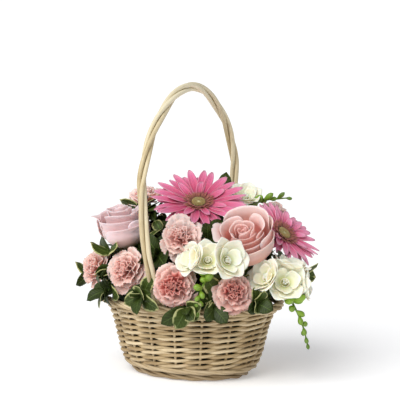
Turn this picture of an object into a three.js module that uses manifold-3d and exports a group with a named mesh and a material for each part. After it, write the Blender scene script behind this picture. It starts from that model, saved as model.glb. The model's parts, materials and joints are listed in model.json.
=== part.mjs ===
// A flower basket arrangement: an oval wicker basket with a tall twisted handle, filled with
// gerberas, roses, spray carnations, freesias and sprigs of rounded leaves that stand in foam.
//
// Millimetres, +Z up. The origin is the centre of the flat underside of the basket's base,
// +X runs along the long axis of the oval and +Y along the span of the handle.

import * as THREE from 'three';
import Module from 'manifold-3d';

const wasm = await Module();
wasm.setup();

// Basket: half lengths of the outer oval, from the bottom row to the top row
const WALL_PROFILE = [
  { z: 8.6, a: 75.6, b: 56.4 },
  { z: 15, a: 84.2, b: 61.4 },
  { z: 24, a: 88.4, b: 63.2 },
  { z: 34, a: 91.4, b: 64.9 },
  { z: 46, a: 94.2, b: 66.6 },
  { z: 60, a: 98.0, b: 69.2 },
  { z: 70, a: 101.6, b: 71.4 },
  { z: 76.4, a: 104.3, b: 73.0 },
  { z: 80.1, a: 110.4, b: 76.6 },
];
const WALL_THICKNESS = 4.8;
const STAKES = 16;
const WEFT_PAIRS = 11;
const WEFT_BULGE = 1.1;
const WEFT_GROOVE = 1.8;
const WEFT_MIDDLE = 1.2;

const BASE = { a: 64.6, b: 46.9, thickness: 4, sides: 20 };
const FOOT = { a: 69.2, b: 51.5, z: 4.4, rod: 3.5, lay: 0.6, turns: 14, steps: 28 };
const RIM = { a: 110.8, b: 76.4, z: 84.8, rod: 4.7, lay: 0.7, turns: 18, steps: 48 };

// Handle: three rods laid round one arched line, spread side by side at the feet
const HANDLE = {
  top: 333,
  bulge: 107.4,
  bulgeHeight: 226.2,
  roundness: 1.79,
  footSpan: 67.2,
  footHeight: 86,
  footEnd: 52,
  rods: 3,
  rodRadius: 2.6,
  layRadius: 3.25,
  footSpacing: 5.6,
  arch: 0.62,
  wound: 0.76,
  straight: 8 / 9,
  turns: 8 / 3,
  steps: 36,
};
// Side by side places of the three rods at each foot, in the order in which the winding ends
const FRONT_PLACES = [0, -1, 1];
const BACK_PLACES = [1, 0, -1];

// Inside the basket
const LINER = { thickness: 1.2, bottom: 4.3, top: 84, aBottom: 61, bBottom: 43, aTop: 99, bTop: 63.4 };
const FOAM = { gap: 0.3, shoulder: 90, top: 100, shoulderInset: 1, topInset: 21 };

const BLADE = 0.8;
const GAP = 0.3;

// Colours
const WICKER = 0xc6a878;
const HANDLE_STRAW = 0xd9c69a;
const LINER_GREEN = 0x2e3a2b;
const FOAM_GREEN = 0x2f4a2c;
const GERBERA_PINK = 0xe06c9c;
const GERBERA_EYE = 0xd5cf93;
const ROSE_PEACH = 0xf0b0aa;
const ROSE_LILAC = 0xecc0cc;
const CARNATION_PINK = 0xe8aca6;
const CARNATION_PALE = 0xf0cfc9;
const FREESIA_WHITE = 0xf3f0dc;
const STEM_GREEN = 0x5f8f35;
const LEAF_GREEN = 0x35502a;
const LEAF_LIGHT = 0x587a38;

const vec = (x, y, z) => new THREE.Vector3(x, y, z);

// Repeatable small differences between petals
function seeded(seed) {
  let state = seed * 2654435761 + 12345;
  return () => {
    state = (Math.imul(state ^ (state >>> 15), 2246822519) + 3266489917) | 0;
    return ((state >>> 8) & 0xffff) / 0xffff;
  };
}

// Solids

function signedVolume(points, triangles) {
  let sum = 0;
  for (const [i, j, k] of triangles) {
    sum += points[i].dot(new THREE.Vector3().crossVectors(points[j], points[k]));
  }
  return sum / 6;
}

function solid(points, triangles) {
  const outward = signedVolume(points, triangles) > 0;
  const ordered = outward ? triangles : triangles.map(([i, j, k]) => [k, j, i]);
  return new wasm.Manifold(new wasm.Mesh({
    numProp: 3,
    vertProperties: new Float32Array(points.flatMap((p) => [p.x, p.y, p.z])),
    triVerts: new Uint32Array(ordered.flat()),
  }));
}

function fuse(solids) {
  return solids.slice(1).reduce((sum, next) => sum.add(next), solids[0]);
}

// The triangles of the largest shell: hollows that joining sealed are filled, and loose scraps dropped
function largestShell(triVerts, vertCount) {
  const parent = Array.from({ length: vertCount }, (_, i) => i);
  const find = (i) => {
    let at = i;
    while (parent[at] !== at) {
      parent[at] = parent[parent[at]];
      at = parent[at];
    }
    return at;
  };
  for (let t = 0; t < triVerts.length; t += 3) {
    parent[find(triVerts[t + 1])] = find(triVerts[t]);
    parent[find(triVerts[t + 2])] = find(triVerts[t]);
  }
  const shells = new Map();
  for (let t = 0; t < triVerts.length; t += 3) {
    const key = find(triVerts[t]);
    if (!shells.has(key)) shells.set(key, []);
    shells.get(key).push(triVerts[t], triVerts[t + 1], triVerts[t + 2]);
  }
  return [...shells.values()].reduce((most, shell) => (shell.length > most.length ? shell : most), []);
}

function geometryOf(body) {
  const mesh = body.getMesh();
  const shell = largestShell(mesh.triVerts, mesh.vertProperties.length / 3);
  const geometry = new THREE.BufferGeometry();
  geometry.setAttribute('position', new THREE.BufferAttribute(new Float32Array(mesh.vertProperties), 3));
  geometry.setIndex(new THREE.BufferAttribute(new Uint32Array(shell), 1));
  geometry.computeVertexNormals();
  return geometry;
}

// Rings of points joined one to the next, with flat ends, or joined in a loop
function loft(rings, loop = false) {
  const count = rings[0].length;
  const points = rings.flat();
  const triangles = [];
  const last = loop ? rings.length : rings.length - 1;
  for (let row = 0; row < last; row += 1) {
    const next = (row + 1) % rings.length;
    for (let i = 0; i < count; i += 1) {
      const j = (i + 1) % count;
      const a = row * count + i;
      const b = row * count + j;
      const c = next * count + j;
      const d = next * count + i;
      triangles.push([a, b, c], [a, c, d]);
    }
  }
  if (!loop) {
    const end = (rings.length - 1) * count;
    for (let i = 1; i < count - 1; i += 1) {
      triangles.push([0, i + 1, i], [end, end + i, end + i + 1]);
    }
  }
  return solid(points, triangles);
}

// A sheet of points and triangles thickened to both sides along its normals
function thicken(points, faces, thickness = BLADE) {
  const count = points.length;
  const normals = points.map(() => vec(0, 0, 0));
  const open = new Map();
  for (const face of faces) {
    const [a, b, c] = face.map((i) => points[i]);
    const normal = new THREE.Vector3().subVectors(b, a).cross(new THREE.Vector3().subVectors(c, a));
    face.forEach((i, corner) => {
      const j = face[(corner + 1) % 3];
      normals[i].add(normal);
      if (open.has(`${j},${i}`)) {
        open.delete(`${j},${i}`);
      } else {
        open.set(`${i},${j}`, [i, j]);
      }
    });
  }
  normals.forEach((normal) => normal.normalize());
  const front = points.map((p, i) => p.clone().addScaledVector(normals[i], thickness / 2));
  const back = points.map((p, i) => p.clone().addScaledVector(normals[i], -thickness / 2));
  const triangles = [];
  for (const [a, b, c] of faces) {
    triangles.push([a, b, c], [c + count, b + count, a + count]);
  }
  for (const [a, b] of open.values()) {
    triangles.push([b, a, a + count], [b, a + count, b + count]);
  }
  return solid([...front, ...back], triangles);
}

// A tube along a line of points, with a radius at each point
function tube(path, radii, sides, roll = 0) {
  const rings = [];
  let side = null;
  path.forEach((centre, index) => {
    const before = path[Math.max(index - 1, 0)];
    const after = path[Math.min(index + 1, path.length - 1)];
    const along = new THREE.Vector3().subVectors(after, before).normalize();
    const seed = side ?? (Math.abs(along.z) < 0.9 ? vec(0, 0, 1) : vec(1, 0, 0));
    side = seed.clone().addScaledVector(along, -seed.dot(along)).normalize();
    const other = new THREE.Vector3().crossVectors(along, side);
    const ring = [];
    for (let i = 0; i < sides; i += 1) {
      const angle = roll + (i / sides) * 2 * Math.PI;
      ring.push(centre.clone()
        .addScaledVector(side, Math.cos(angle) * radii[index])
        .addScaledVector(other, Math.sin(angle) * radii[index]));
    }
    rings.push(ring);
  });
  return loft(rings);
}

// Ovals: angles spaced evenly along the edge, so that the stakes stand evenly
const OVAL_RATIO = 0.7;

const evenAngles = (() => {
  const steps = 1440;
  const lengths = [0];
  for (let i = 1; i <= steps; i += 1) {
    const angle = ((i - 0.5) / steps) * 2 * Math.PI;
    lengths.push(lengths[i - 1] + Math.hypot(Math.sin(angle), OVAL_RATIO * Math.cos(angle)));
  }
  return (share) => {
    const whole = Math.floor(share);
    const target = (share - whole) * lengths[steps];
    let low = 0;
    let high = steps;
    while (high - low > 1) {
      const middle = (low + high) >> 1;
      if (lengths[middle] <= target) low = middle; else high = middle;
    }
    const part = (target - lengths[low]) / (lengths[high] - lengths[low]);
    return (whole + (low + part) / steps) * 2 * Math.PI;
  };
})();

function ovalPoint(a, b, angle, z, offset = 0) {
  const outward = vec(Math.cos(angle) * b, Math.sin(angle) * a, 0).normalize();
  return vec(a * Math.cos(angle), b * Math.sin(angle), z).addScaledVector(outward, offset);
}

function ovalRing(a, b, z, count, offset = 0) {
  const ring = [];
  for (let i = 0; i < count; i += 1) {
    ring.push(ovalPoint(a, b, evenAngles(i / count), z, offset));
  }
  return ring;
}

function wallAt(z) {
  const upper = WALL_PROFILE.findIndex((row) => row.z >= z);
  const high = upper < 0 ? WALL_PROFILE[WALL_PROFILE.length - 1] : WALL_PROFILE[Math.max(upper, 1)];
  const low = WALL_PROFILE[Math.max((upper < 0 ? WALL_PROFILE.length - 1 : Math.max(upper, 1)) - 1, 0)];
  const part = (z - low.z) / (high.z - low.z);
  return { a: low.a + (high.a - low.a) * part, b: low.b + (high.b - low.b) * part };
}

// Basket

function basketBase() {
  const { a, b, thickness, sides } = BASE;
  return loft([ovalRing(a, b, 0, sides), ovalRing(a, b, thickness, sides)]);
}

// The wall: weft rods in twisted pairs, one in front of each stake and one behind it. Over a stake the
// front rods stand out with slits between them, and halfway to the next stake the rods lie level.
function basketWall() {
  const bottom = WALL_PROFILE[0].z;
  const top = WALL_PROFILE[WALL_PROFILE.length - 1].z;
  const levels = WEFT_PAIRS * 2;
  const columns = STAKES * 2;
  const rings = [];
  for (let level = 0; level <= levels; level += 1) {
    const z = bottom + ((top - bottom) * level) / levels;
    const { a, b } = wallAt(z);
    const edge = level === 0 || level === levels;
    const overStake = level % 2 === 1 ? WEFT_BULGE : -WEFT_GROOVE;
    const ring = [];
    for (let column = 0; column < columns; column += 1) {
      const offset = edge || column % 2 === 1 ? -WEFT_MIDDLE : overStake;
      ring.push(ovalPoint(a, b, evenAngles(column / columns), z, offset));
    }
    rings.push(ring);
  }
  for (const z of [top, top - 5, bottom + 8, bottom]) {
    const { a, b } = wallAt(z);
    rings.push(ovalRing(a, b, z, columns, -WALL_THICKNESS));
  }
  return loft(rings, true);
}

// A ring of rods wound round each other: the section is three-lobed and turns as it goes round
function woundRing({ a, b, z, rod, lay, turns, steps }) {
  const sides = 5;
  const rings = [];
  for (let step = 0; step < steps; step += 1) {
    const share = step / steps;
    const angle = evenAngles(share);
    const centre = ovalPoint(a, b, angle, z);
    const outward = vec(Math.cos(angle) * b, Math.sin(angle) * a, 0).normalize();
    const ring = [];
    for (let side = 0; side < sides; side += 1) {
      const around = (side / sides) * 2 * Math.PI;
      const lobe = Math.cos(around * 2 + share * turns * 2 * Math.PI);
      const radius = rod + lay * lobe;
      ring.push(centre.clone()
        .addScaledVector(outward, Math.cos(around) * radius)
        .add(vec(0, 0, -Math.sin(around) * radius)));
    }
    rings.push(ring);
  }
  return loft(rings, true);
}

// Half span and height of the handle's middle line at u, from -1 at the front foot to 1 at the back
function handleLine(u) {
  const a = Math.abs(u);
  const { top, bulge, bulgeHeight, roundness, footSpan, footHeight, footEnd, arch, straight } = HANDLE;
  let span;
  let z;
  if (a < arch) {
    const turn = (a / arch) * (Math.PI / 2);
    span = bulge * Math.sin(turn) ** (2 / roundness);
    z = bulgeHeight + (top - bulgeHeight) * Math.cos(turn) ** (2 / roundness);
  } else if (a < straight) {
    const part = (a - arch) / (straight - arch);
    span = bulge - (bulge - footSpan) * part * part;
    z = bulgeHeight - (bulgeHeight - footHeight) * part;
  } else {
    const part = (a - straight) / (1 - straight);
    z = footHeight - (footHeight - footEnd) * part;
    span = wallAt(z).b - WALL_THICKNESS - GAP - HANDLE.rodRadius - 0.4;
    span = Math.min(span, footSpan);
  }
  return vec(0, Math.sign(u) * span, z);
}

function handleRod(index) {
  const { rods, rodRadius, layRadius, footSpacing, wound, straight, turns, steps } = HANDLE;
  const path = [];
  for (let step = 0; step <= steps; step += 1) {
    const u = -1 + (2 * step) / steps;
    const centre = handleLine(u);
    const ahead = handleLine(Math.min(u + 0.01, 1));
    const behind = handleLine(Math.max(u - 0.01, -1));
    const along = ahead.clone().sub(behind).normalize();
    const across = vec(1, 0, 0);
    const normal = new THREE.Vector3().crossVectors(along, across);
    const share = (THREE.MathUtils.clamp(u, -wound, wound) + wound) / (2 * wound);
    const turn = (0.25 + index / rods + share * turns) * 2 * Math.PI;
    const laid = across.clone().multiplyScalar(Math.cos(turn) * layRadius)
      .addScaledVector(normal, Math.sin(turn) * layRadius);
    const place = (u < 0 ? FRONT_PLACES : BACK_PLACES)[index];
    const flat = across.clone().multiplyScalar(place * footSpacing);
    const spread = THREE.MathUtils.smoothstep(Math.abs(u), wound, straight);
    path.push(centre.clone().add(laid.lerp(flat, spread)));
  }
  return tube(path, path.map(() => rodRadius), 5);
}

// Liner and foam

function linerAt(z) {
  const { bottom, top, aBottom, bBottom, aTop, bTop } = LINER;
  const part = (z - bottom) / (top - bottom);
  return { a: aBottom + (aTop - aBottom) * part, b: bBottom + (bTop - bBottom) * part };
}

function linerTub() {
  const sides = 24;
  const { thickness, bottom, top } = LINER;
  const ring = (z, inset) => {
    const { a, b } = linerAt(z);
    return ovalRing(a - inset, b - inset, z, sides);
  };
  const outside = loft([ring(bottom, 0), ring(top, 0)]);
  const inside = loft([ring(bottom + thickness, thickness), ring(top + 5, thickness)]);
  return outside.subtract(inside);
}

function foamBlock(holes) {
  const sides = 24;
  const { gap, shoulder, top, shoulderInset, topInset } = FOAM;
  const inset = LINER.thickness + gap;
  const bottom = LINER.bottom + LINER.thickness + gap;
  const low = linerAt(bottom);
  const edge = linerAt(LINER.top);
  const block = loft([
    ovalRing(low.a - inset, low.b - inset, bottom, sides),
    ovalRing(edge.a - inset, edge.b - inset, LINER.top, sides),
    ovalRing(edge.a - inset - shoulderInset, edge.b - inset - shoulderInset, shoulder, sides),
    ovalRing(edge.a - inset - topInset, edge.b - inset - topInset, top, sides),
  ]);
  return block.subtract(fuse(holes));
}

// Stems: straight in the foam, then bending to the back of the head that they carry

const STEM_HOLES = [];
const STEM_DEPTH = 22;

function bezier(p0, p1, p2, p3, t) {
  const s = 1 - t;
  return p0.clone().multiplyScalar(s * s * s)
    .addScaledVector(p1, 3 * s * s * t)
    .addScaledVector(p2, 3 * s * t * t)
    .addScaledVector(p3, t * t * t);
}

// The straight foot of a stem, its end at root, with the plain hole that it stands in
function stemFoot(root, towards, radius) {
  const lean = towards.clone().sub(root).normalize();
  const holeRadius = (radius + GAP) / Math.cos(Math.PI / 4);
  const from = root.clone().addScaledVector(lean, -GAP);
  const to = root.clone().addScaledVector(lean, STEM_DEPTH + 30);
  STEM_HOLES.push(tube([from, to], [holeRadius, holeRadius], 4));
  return { lean, exit: root.clone().addScaledVector(lean, STEM_DEPTH) };
}

// Points of a stem from root to the end of a head's calyx, whose outer axis is facing
function stemPath(root, end, facing, radius, segments) {
  const { lean, exit } = stemFoot(root, end.clone().addScaledVector(facing, -12), radius);
  const reach = exit.distanceTo(end) * 0.4;
  const path = [root.clone()];
  for (let i = 0; i <= segments; i += 1) {
    path.push(bezier(exit, exit.clone().addScaledVector(lean, reach),
      end.clone().addScaledVector(facing, -reach), end, i / segments));
  }
  return path;
}

function stemWithCalyx({ root, at, facing, radius, calyx, segments = 3, sides = 5 }) {
  const axis = facing.clone().normalize();
  const [neck, ...cup] = calyx;
  const start = at.clone().addScaledVector(axis, neck.z);
  const path = stemPath(root, start, axis, radius, segments);
  const radii = path.map(() => radius);
  radii[radii.length - 1] = neck.r;
  for (const { z, r } of cup) {
    path.push(at.clone().addScaledVector(axis, z));
    radii.push(r);
  }
  return tube(path, radii, sides);
}

// Gerberas

// A wheel of long petals in one sheet, cut in to the notches between them
function petalWheel({ count, notch, side, tip, halfSide, base, rise, channel, ragged, random }) {
  const middleSides = 6;
  const points = polygon(4.6, middleSides, base);
  const faces = [[0, 1, 2], [0, 2, 3], [0, 3, 4], [0, 4, 5]];
  const sector = (2 * Math.PI) / count;
  const polar = (radius, angle, lift) => vec(
    radius * Math.cos(angle),
    radius * Math.sin(angle),
    base + rise * radius + lift,
  );
  const notches = [];
  for (let i = 0; i < count; i += 1) {
    notches.push(points.push(polar(notch, (i - 0.5) * sector, 0.3)) - 1);
  }
  for (let i = 0; i < count; i += 1) {
    const angle = i * sector + (random() - 0.5) * sector * 0.2;
    const lift = (i % 2 ? 1 : -1) * ragged * 0.5 + (random() - 0.5) * ragged;
    const long = tip * (0.93 + 0.1 * random());
    const middle = points.push(polar(side * 0.8, angle, lift * 0.6 - channel)) - 1;
    const right = points.push(polar(side, angle - halfSide, lift)) - 1;
    const end = points.push(polar(long, angle, lift * 1.6 - channel * 0.6)) - 1;
    const left = points.push(polar(side, angle + halfSide, lift)) - 1;
    const before = notches[i];
    const after = notches[(i + 1) % count];
    const inner = Math.round(i * middleSides / count) % middleSides;
    const nextInner = Math.round((i + 1) * middleSides / count) % middleSides;
    faces.push([inner, before, middle], [inner, middle, after], [before, right, middle]);
    faces.push([right, end, middle], [end, left, middle], [left, after, middle]);
    if (nextInner !== inner) faces.push([inner, after, nextInner]);
  }
  return thicken(points, faces);
}

// A wheel of short pointed petals
function shortWheel({ count, notch, tip, base, rise, random }) {
  const middleSides = 6;
  const points = polygon(4.6, middleSides, base);
  const faces = [[0, 1, 2], [0, 2, 3], [0, 3, 4], [0, 4, 5]];
  const sector = (2 * Math.PI) / count;
  const polar = (radius, angle) => vec(radius * Math.cos(angle), radius * Math.sin(angle),
    base + rise * (radius - 4.6) + random() * 0.4);
  for (let i = 0; i < count; i += 1) {
    points.push(polar(notch, (i - 0.5) * sector), polar(tip * (0.92 + 0.16 * random()), i * sector));
  }
  for (let i = 0; i < count; i += 1) {
    const before = middleSides + 2 * i;
    const after = middleSides + 2 * ((i + 1) % count);
    const inner = Math.round(i * middleSides / count) % middleSides;
    const nextInner = Math.round((i + 1) * middleSides / count) % middleSides;
    faces.push([inner, before, before + 1], [inner, before + 1, after]);
    if (nextInner !== inner) faces.push([inner, after, nextInner]);
  }
  return thicken(points, faces);
}

function gerberaPetals({ radius, count, seed }) {
  const random = seeded(seed);
  const outer = petalWheel({
    count, notch: radius * 0.34, side: radius * 0.74, tip: radius, halfSide: (Math.PI / count) * 0.84,
    base: -1, rise: 0.2, channel: 1.2, ragged: 2.6, random,
  });
  const inner = shortWheel({ count: 14, notch: 11.5, tip: 18, base: 1.4, rise: 0.34, random });
  const hub = loft([polygon(3, 3, -1), polygon(3, 3, 1.4)]);
  return fuse([outer, hub, inner]);
}

function polygon(radius, sides, z, turn = 0) {
  const ring = [];
  for (let i = 0; i < sides; i += 1) {
    const angle = turn + (i / sides) * 2 * Math.PI;
    ring.push(vec(radius * Math.cos(angle), radius * Math.sin(angle), z));
  }
  return ring;
}

// The eye sits in the hollow of the inner petals
function gerberaEye() {
  return loft([polygon(4.2, 9, 2.4), polygon(7.2, 9, 3.9), polygon(6.2, 9, 5.4), polygon(2.6, 9, 4.5)]);
}

const GERBERA_CALYX = [{ z: -9.5, r: 3 }, { z: -4.4, r: 7.5 }, { z: -2.2, r: 8 }];

// Carnations

// A cup whose rings double in number and whose edge is frilled
function frilledCup({ start, rings, random }) {
  const points = polygon(rings[0].r, start, rings[0].z);
  const faces = [];
  for (let i = 1; i < start - 1; i += 1) {
    faces.push([0, i, i + 1]);
  }
  let previous = points.map((_, i) => i);
  let count = start;
  let turn = 0;
  for (const { r, z, waveZ, waveR } of rings.slice(1)) {
    turn -= Math.PI / count / 2;
    const next = [];
    for (let i = 0; i < count * 2; i += 1) {
      const angle = (i / (count * 2)) * 2 * Math.PI + turn + (random() - 0.5) * 0.1;
      const side = i % 2 ? 1 : -1;
      const radius = r + side * waveR + (random() - 0.5) * waveR;
      const height = z + side * waveZ + (random() - 0.5) * waveZ;
      next.push(points.push(vec(radius * Math.cos(angle), radius * Math.sin(angle), height)) - 1);
    }
    for (let i = 0; i < count; i += 1) {
      const j = (i + 1) % count;
      const far = (2 * i + 2) % (count * 2);
      faces.push([previous[i], next[2 * i], next[2 * i + 1]]);
      faces.push([previous[i], next[2 * i + 1], previous[j]]);
      faces.push([previous[j], next[2 * i + 1], next[far]]);
    }
    previous = next;
    count *= 2;
  }
  return thicken(points, faces);
}

function carnationPetals({ radius, seed, full = true }) {
  const random = seeded(seed);
  const s = radius / 24;
  const outer = frilledCup({
    start: 5,
    rings: [
      { r: 3.2 * s, z: -10 * s },
      { r: 14 * s, z: -4 * s, waveZ: 0.8 * s, waveR: 0.4 * s },
      { r: 23 * s, z: -1.5 * s, waveZ: 2.3 * s, waveR: 1.1 * s },
    ],
    random,
  });
  const inner = frilledCup({
    start: 4,
    rings: [
      { r: 2.6 * s, z: -7.5 * s },
      { r: 8.5 * s, z: 3 * s, waveZ: 0.8 * s, waveR: 0.6 * s },
      { r: 15.5 * s, z: 6.5 * s, waveZ: 2.2 * s, waveR: 1.4 * s },
    ],
    random,
  });
  const tuft = frilledCup({
    start: 4,
    rings: [
      { r: 2 * s, z: -2 * s },
      { r: 6.5 * s, z: 9 * s, waveZ: 1.8 * s, waveR: 1.6 * s },
    ],
    random,
  });
  const heart = loft([polygon(2 * s, 3, -10 * s, 0.3), polygon(1.4 * s, 3, -2 * s, 0.3)]);
  return fuse(full ? [outer, inner, tuft, heart] : [outer, inner, heart]);
}

function carnationCalyx(radius) {
  const s = radius / 24;
  return [
    { z: -26 * s, r: 2.8 * s },
    { z: -20 * s, r: 4.4 * s },
    { z: -10 * s - BLADE / 2 - GAP, r: 3.9 * s },
  ];
}

// Roses

// One petal: rows from the root to the lip, each with its radius, height and share of the spread
function rosePetal({ turn, spread, rows, lap, drop }) {
  const points = [];
  const faces = [];
  rows.forEach(([radius, height, share], row) => {
    for (const u of [-1, 0, 1]) {
      const angle = turn + u * spread * share;
      const lip = row === rows.length - 1 ? Math.abs(u) * drop : 0;
      const r = radius * (1 + lap * u * Math.min(row, 1));
      points.push(vec(r * Math.cos(angle), r * Math.sin(angle), height - lip));
    }
  });
  for (let row = 0; row < rows.length - 1; row += 1) {
    for (let i = 0; i < 2; i += 1) {
      const a = row * 3 + i;
      faces.push([a, a + 1, a + 4], [a, a + 4, a + 3]);
    }
  }
  return thicken(points, faces, 0.9);
}

function rosePetals({ radius, seed, inner = 3 }) {
  const random = seeded(seed);
  const s = radius / 34;
  const scaled = (rows) => rows.map(([r, z, share]) => [r * s, z * s, share]);
  const solids = [];
  const outerRows = [[6.5, -23, 0.35], [24.5, -9, 0.95], [34, 6, 0.78]];
  const middleRows = [[5.5, -15, 0.35], [19, 0, 0.95], [25, 13, 0.75]];
  const innerRows = [[5, -5, 0.35], [13, 7, 0.95], [15, 16, 0.8]];
  for (let i = 0; i < 4; i += 1) {
    const turn = (i / 4) * 2 * Math.PI + random() * 0.1;
    solids.push(rosePetal({ turn, spread: 0.88, rows: scaled(outerRows), lap: 0.07, drop: 4 * s }));
  }
  for (let i = 0; i < 3; i += 1) {
    const turn = (i / 3) * 2 * Math.PI + 0.4 + random() * 0.1;
    solids.push(rosePetal({ turn, spread: 1.12, rows: scaled(middleRows), lap: 0.08, drop: 3 * s }));
  }
  for (let i = 0; i < inner; i += 1) {
    const turn = (i / inner) * 2 * Math.PI + 0.9;
    solids.push(rosePetal({ turn, spread: 1.15, rows: scaled(innerRows), lap: 0.1, drop: 2.5 * s }));
  }
  const core = loft([
    polygon(5 * s, 6, -27 * s),
    polygon(9.5 * s, 6, -20 * s),
    polygon(8.4 * s, 6, -4 * s, 0.2),
    polygon(8.2 * s, 6, 8 * s, 0.5),
    polygon(4.6 * s, 6, 17 * s, 0.9),
  ]);
  return fuse([core, ...solids]);
}

// Stem, hip and a flared five-cornered ring of sepals
function roseCalyx(radius) {
  const s = radius / 34;
  return [
    { z: -37 * s, r: 3.2 },
    { z: -32 * s, r: 5 * s },
    { z: -30 * s, r: 13 * s },
    { z: -27 * s - GAP, r: 5.4 * s },
  ];
}

// Freesias

// An open floret facing +Z, its foot at the origin: a slim tube that widens to six rounded lobes
// round a hollow throat
function floret({ radius, length, open, random }) {
  const lobes = 6;
  const outline = [];
  for (let i = 0; i < lobes; i += 1) {
    const angle = (i / lobes) * 2 * Math.PI;
    const lift = (i % 2 ? 1.4 : -0.6) + random();
    const corner = (r, turn, z) => outline.push(vec(r * Math.cos(turn), r * Math.sin(turn), z));
    corner(radius * 0.5, angle - Math.PI / lobes, length - 2.5);
    corner(radius * open * (0.9 + 0.06 * random()), angle - 0.26, length + 1 + lift);
    corner(radius * open * (0.9 + 0.06 * random()), angle + 0.26, length + 1 + lift);
  }
  const count = outline.length;
  const points = [
    ...outline,
    ...outline.map((p) => p.clone().add(vec(0, 0, -1))),
    vec(0, 0, length - 6),
    ...polygon(2.6, 3, length - 9, -Math.PI / 3),
    ...polygon(1.4, 3, 0, -Math.PI / 3),
  ];
  const throat = 2 * count;
  const neck = throat + 1;
  const foot = neck + 3;
  const triangles = [[foot, foot + 2, foot + 1]];
  for (let i = 0; i < count; i += 1) {
    const j = (i + 1) % count;
    const side = Math.floor((i * 3) / count);
    const next = (side + 1) % 3;
    triangles.push([throat, i, j], [i, i + count, j + count], [i, j + count, j]);
    triangles.push([neck + side, j + count, i + count]);
    if (Math.floor(((i + 1) * 3) / count) > side) {
      triangles.push([neck + side, neck + next, j + count]);
      triangles.push([foot + side, foot + next, neck + next], [foot + side, neck + next, neck + side]);
    }
  }
  return { points, triangles };
}

function placed({ points, triangles }, from, facing, spin = 0) {
  const turnTo = new THREE.Quaternion().setFromUnitVectors(vec(0, 0, 1), facing.clone().normalize());
  const roll = new THREE.Quaternion().setFromAxisAngle(vec(0, 0, 1), spin);
  const moved = points.map((p) => p.clone().applyQuaternion(roll).applyQuaternion(turnTo).add(from));
  return solid(moved, triangles);
}

// The white florets of one spray, their tubes joined at its head
function freesiaWhite({ joint, florets, seed }) {
  const random = seeded(seed);
  const head = joint;
  const knot = loft([polygon(2.2, 4, -2.6), polygon(3.2, 4, 0), polygon(2.2, 4, 2.6)]
    .map((ring) => ring.map((p) => p.add(head))));
  const blooms = florets.map(({ at, radius, open = 1 }, index) => {
    const axis = at.clone().sub(head);
    const length = axis.length() - 1;
    return placed(floret({ radius, length, open, random }), head.clone(), axis, index * 0.5);
  });
  return fuse([knot, ...blooms]);
}

function bud(from, to, thick) {
  const axis = to.clone().sub(from);
  const point = (share) => from.clone().addScaledVector(axis, share);
  return tube([point(0), point(0.6), point(1)], [thick * 0.4, thick, thick * 0.3], 3);
}

// The green of one spray: the stem under the florets and the row of buds at its end
function freesiaGreen({ root, line, buds }) {
  const radius = 1.5;
  const { lean, exit } = stemFoot(root, line[0], radius);
  const curve = new THREE.CatmullRomCurve3([exit, ...line], false, 'centripetal');
  const segments = line.length * 2;
  const path = [root.clone(), ...curve.getPoints(segments)];
  const radii = path.map((_, i) => radius * (1 - 0.45 * (i / (path.length - 1))));
  radii[0] = radius;
  radii[1] = radius;
  const solids = [tube(path, radii, 4)];
  for (const { share, to, thick = 2.4 } of buds) {
    solids.push(bud(curve.getPoint(share), to, thick));
  }
  return fuse(solids);
}

// Leaves

// The leaves turn their faces away from this point inside the arrangement
const ARRANGEMENT_HEART = vec(0, 0, 112);

// One rounded leaf from its foot on the sprig to its tip, folded a little along the rib
function leaf(foot, tip, width) {
  const along = tip.clone().sub(foot);
  const centre = foot.clone().lerp(tip, 0.5);
  const outward = centre.clone().sub(ARRANGEMENT_HEART).normalize();
  const side = new THREE.Vector3().crossVectors(along, outward).normalize();
  const normal = new THREE.Vector3().crossVectors(side, along).normalize();
  const point = (share, across, lift) => foot.clone().addScaledVector(along, share)
    .addScaledVector(side, across * width * 0.5).addScaledVector(normal, lift);
  const points = [
    point(0, 0, 0),
    point(0.34, -0.94, 1.6), point(0.8, -0.86, 1.2),
    point(1, 0, -0.6),
    point(0.8, 0.86, 1.2), point(0.34, 0.94, 1.6),
  ];
  return thicken(points, [[0, 3, 2], [0, 2, 1], [0, 4, 3], [0, 5, 4]]);
}

// A sprig: a stem through the points of line with its leaves, each from a share of the stem to a tip
function sprig({ root, line, leaves }) {
  const radius = 1.3;
  const { exit } = stemFoot(root, line[0], radius);
  const curve = new THREE.CatmullRomCurve3([exit, ...line], false, 'centripetal');
  const path = [root.clone(), ...curve.getPoints(line.length + 2)];
  const radii = path.map((_, i) => (i < 2 ? radius : radius * (1 - 0.35 * (i / (path.length - 1)))));
  const solids = [tube(path, radii, 3)];
  for (const [share, tip, width] of leaves) {
    solids.push(leaf(curve.getPoint(share), tip, width));
  }
  return fuse(solids);
}

// The arrangement

const GERBERAS = [
  { name: 'gerbera_top', at: vec(12, -2, 197), facing: vec(0.27, -0.42, 0.87), radius: 54, count: 22,
    root: vec(4, -4, 84), seed: 3 },
  { name: 'gerbera_right', at: vec(95, 48, 161), facing: vec(0.71, -0.07, 0.7), radius: 46, count: 20,
    root: vec(50, 20, 86), seed: 8 },
];

const ROSES = [
  { name: 'rose_front', at: vec(85, -23, 170), facing: vec(0.45, -0.69, 0.57), radius: 34,
    root: vec(42, -10, 86), seed: 5, inner: 3, colour: ROSE_PEACH },
  { name: 'rose_left', at: vec(-66, -39, 168), facing: vec(-0.17, -0.61, 0.77), radius: 31,
    root: vec(-38, -12, 86), seed: 6, inner: 2, colour: ROSE_LILAC },
  { name: 'rose_back', at: vec(-30, 60, 163), facing: vec(-0.15, 0.72, 0.68), radius: 30,
    root: vec(-14, 30, 86), seed: 9, inner: 2, colour: ROSE_PEACH },
];

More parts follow.
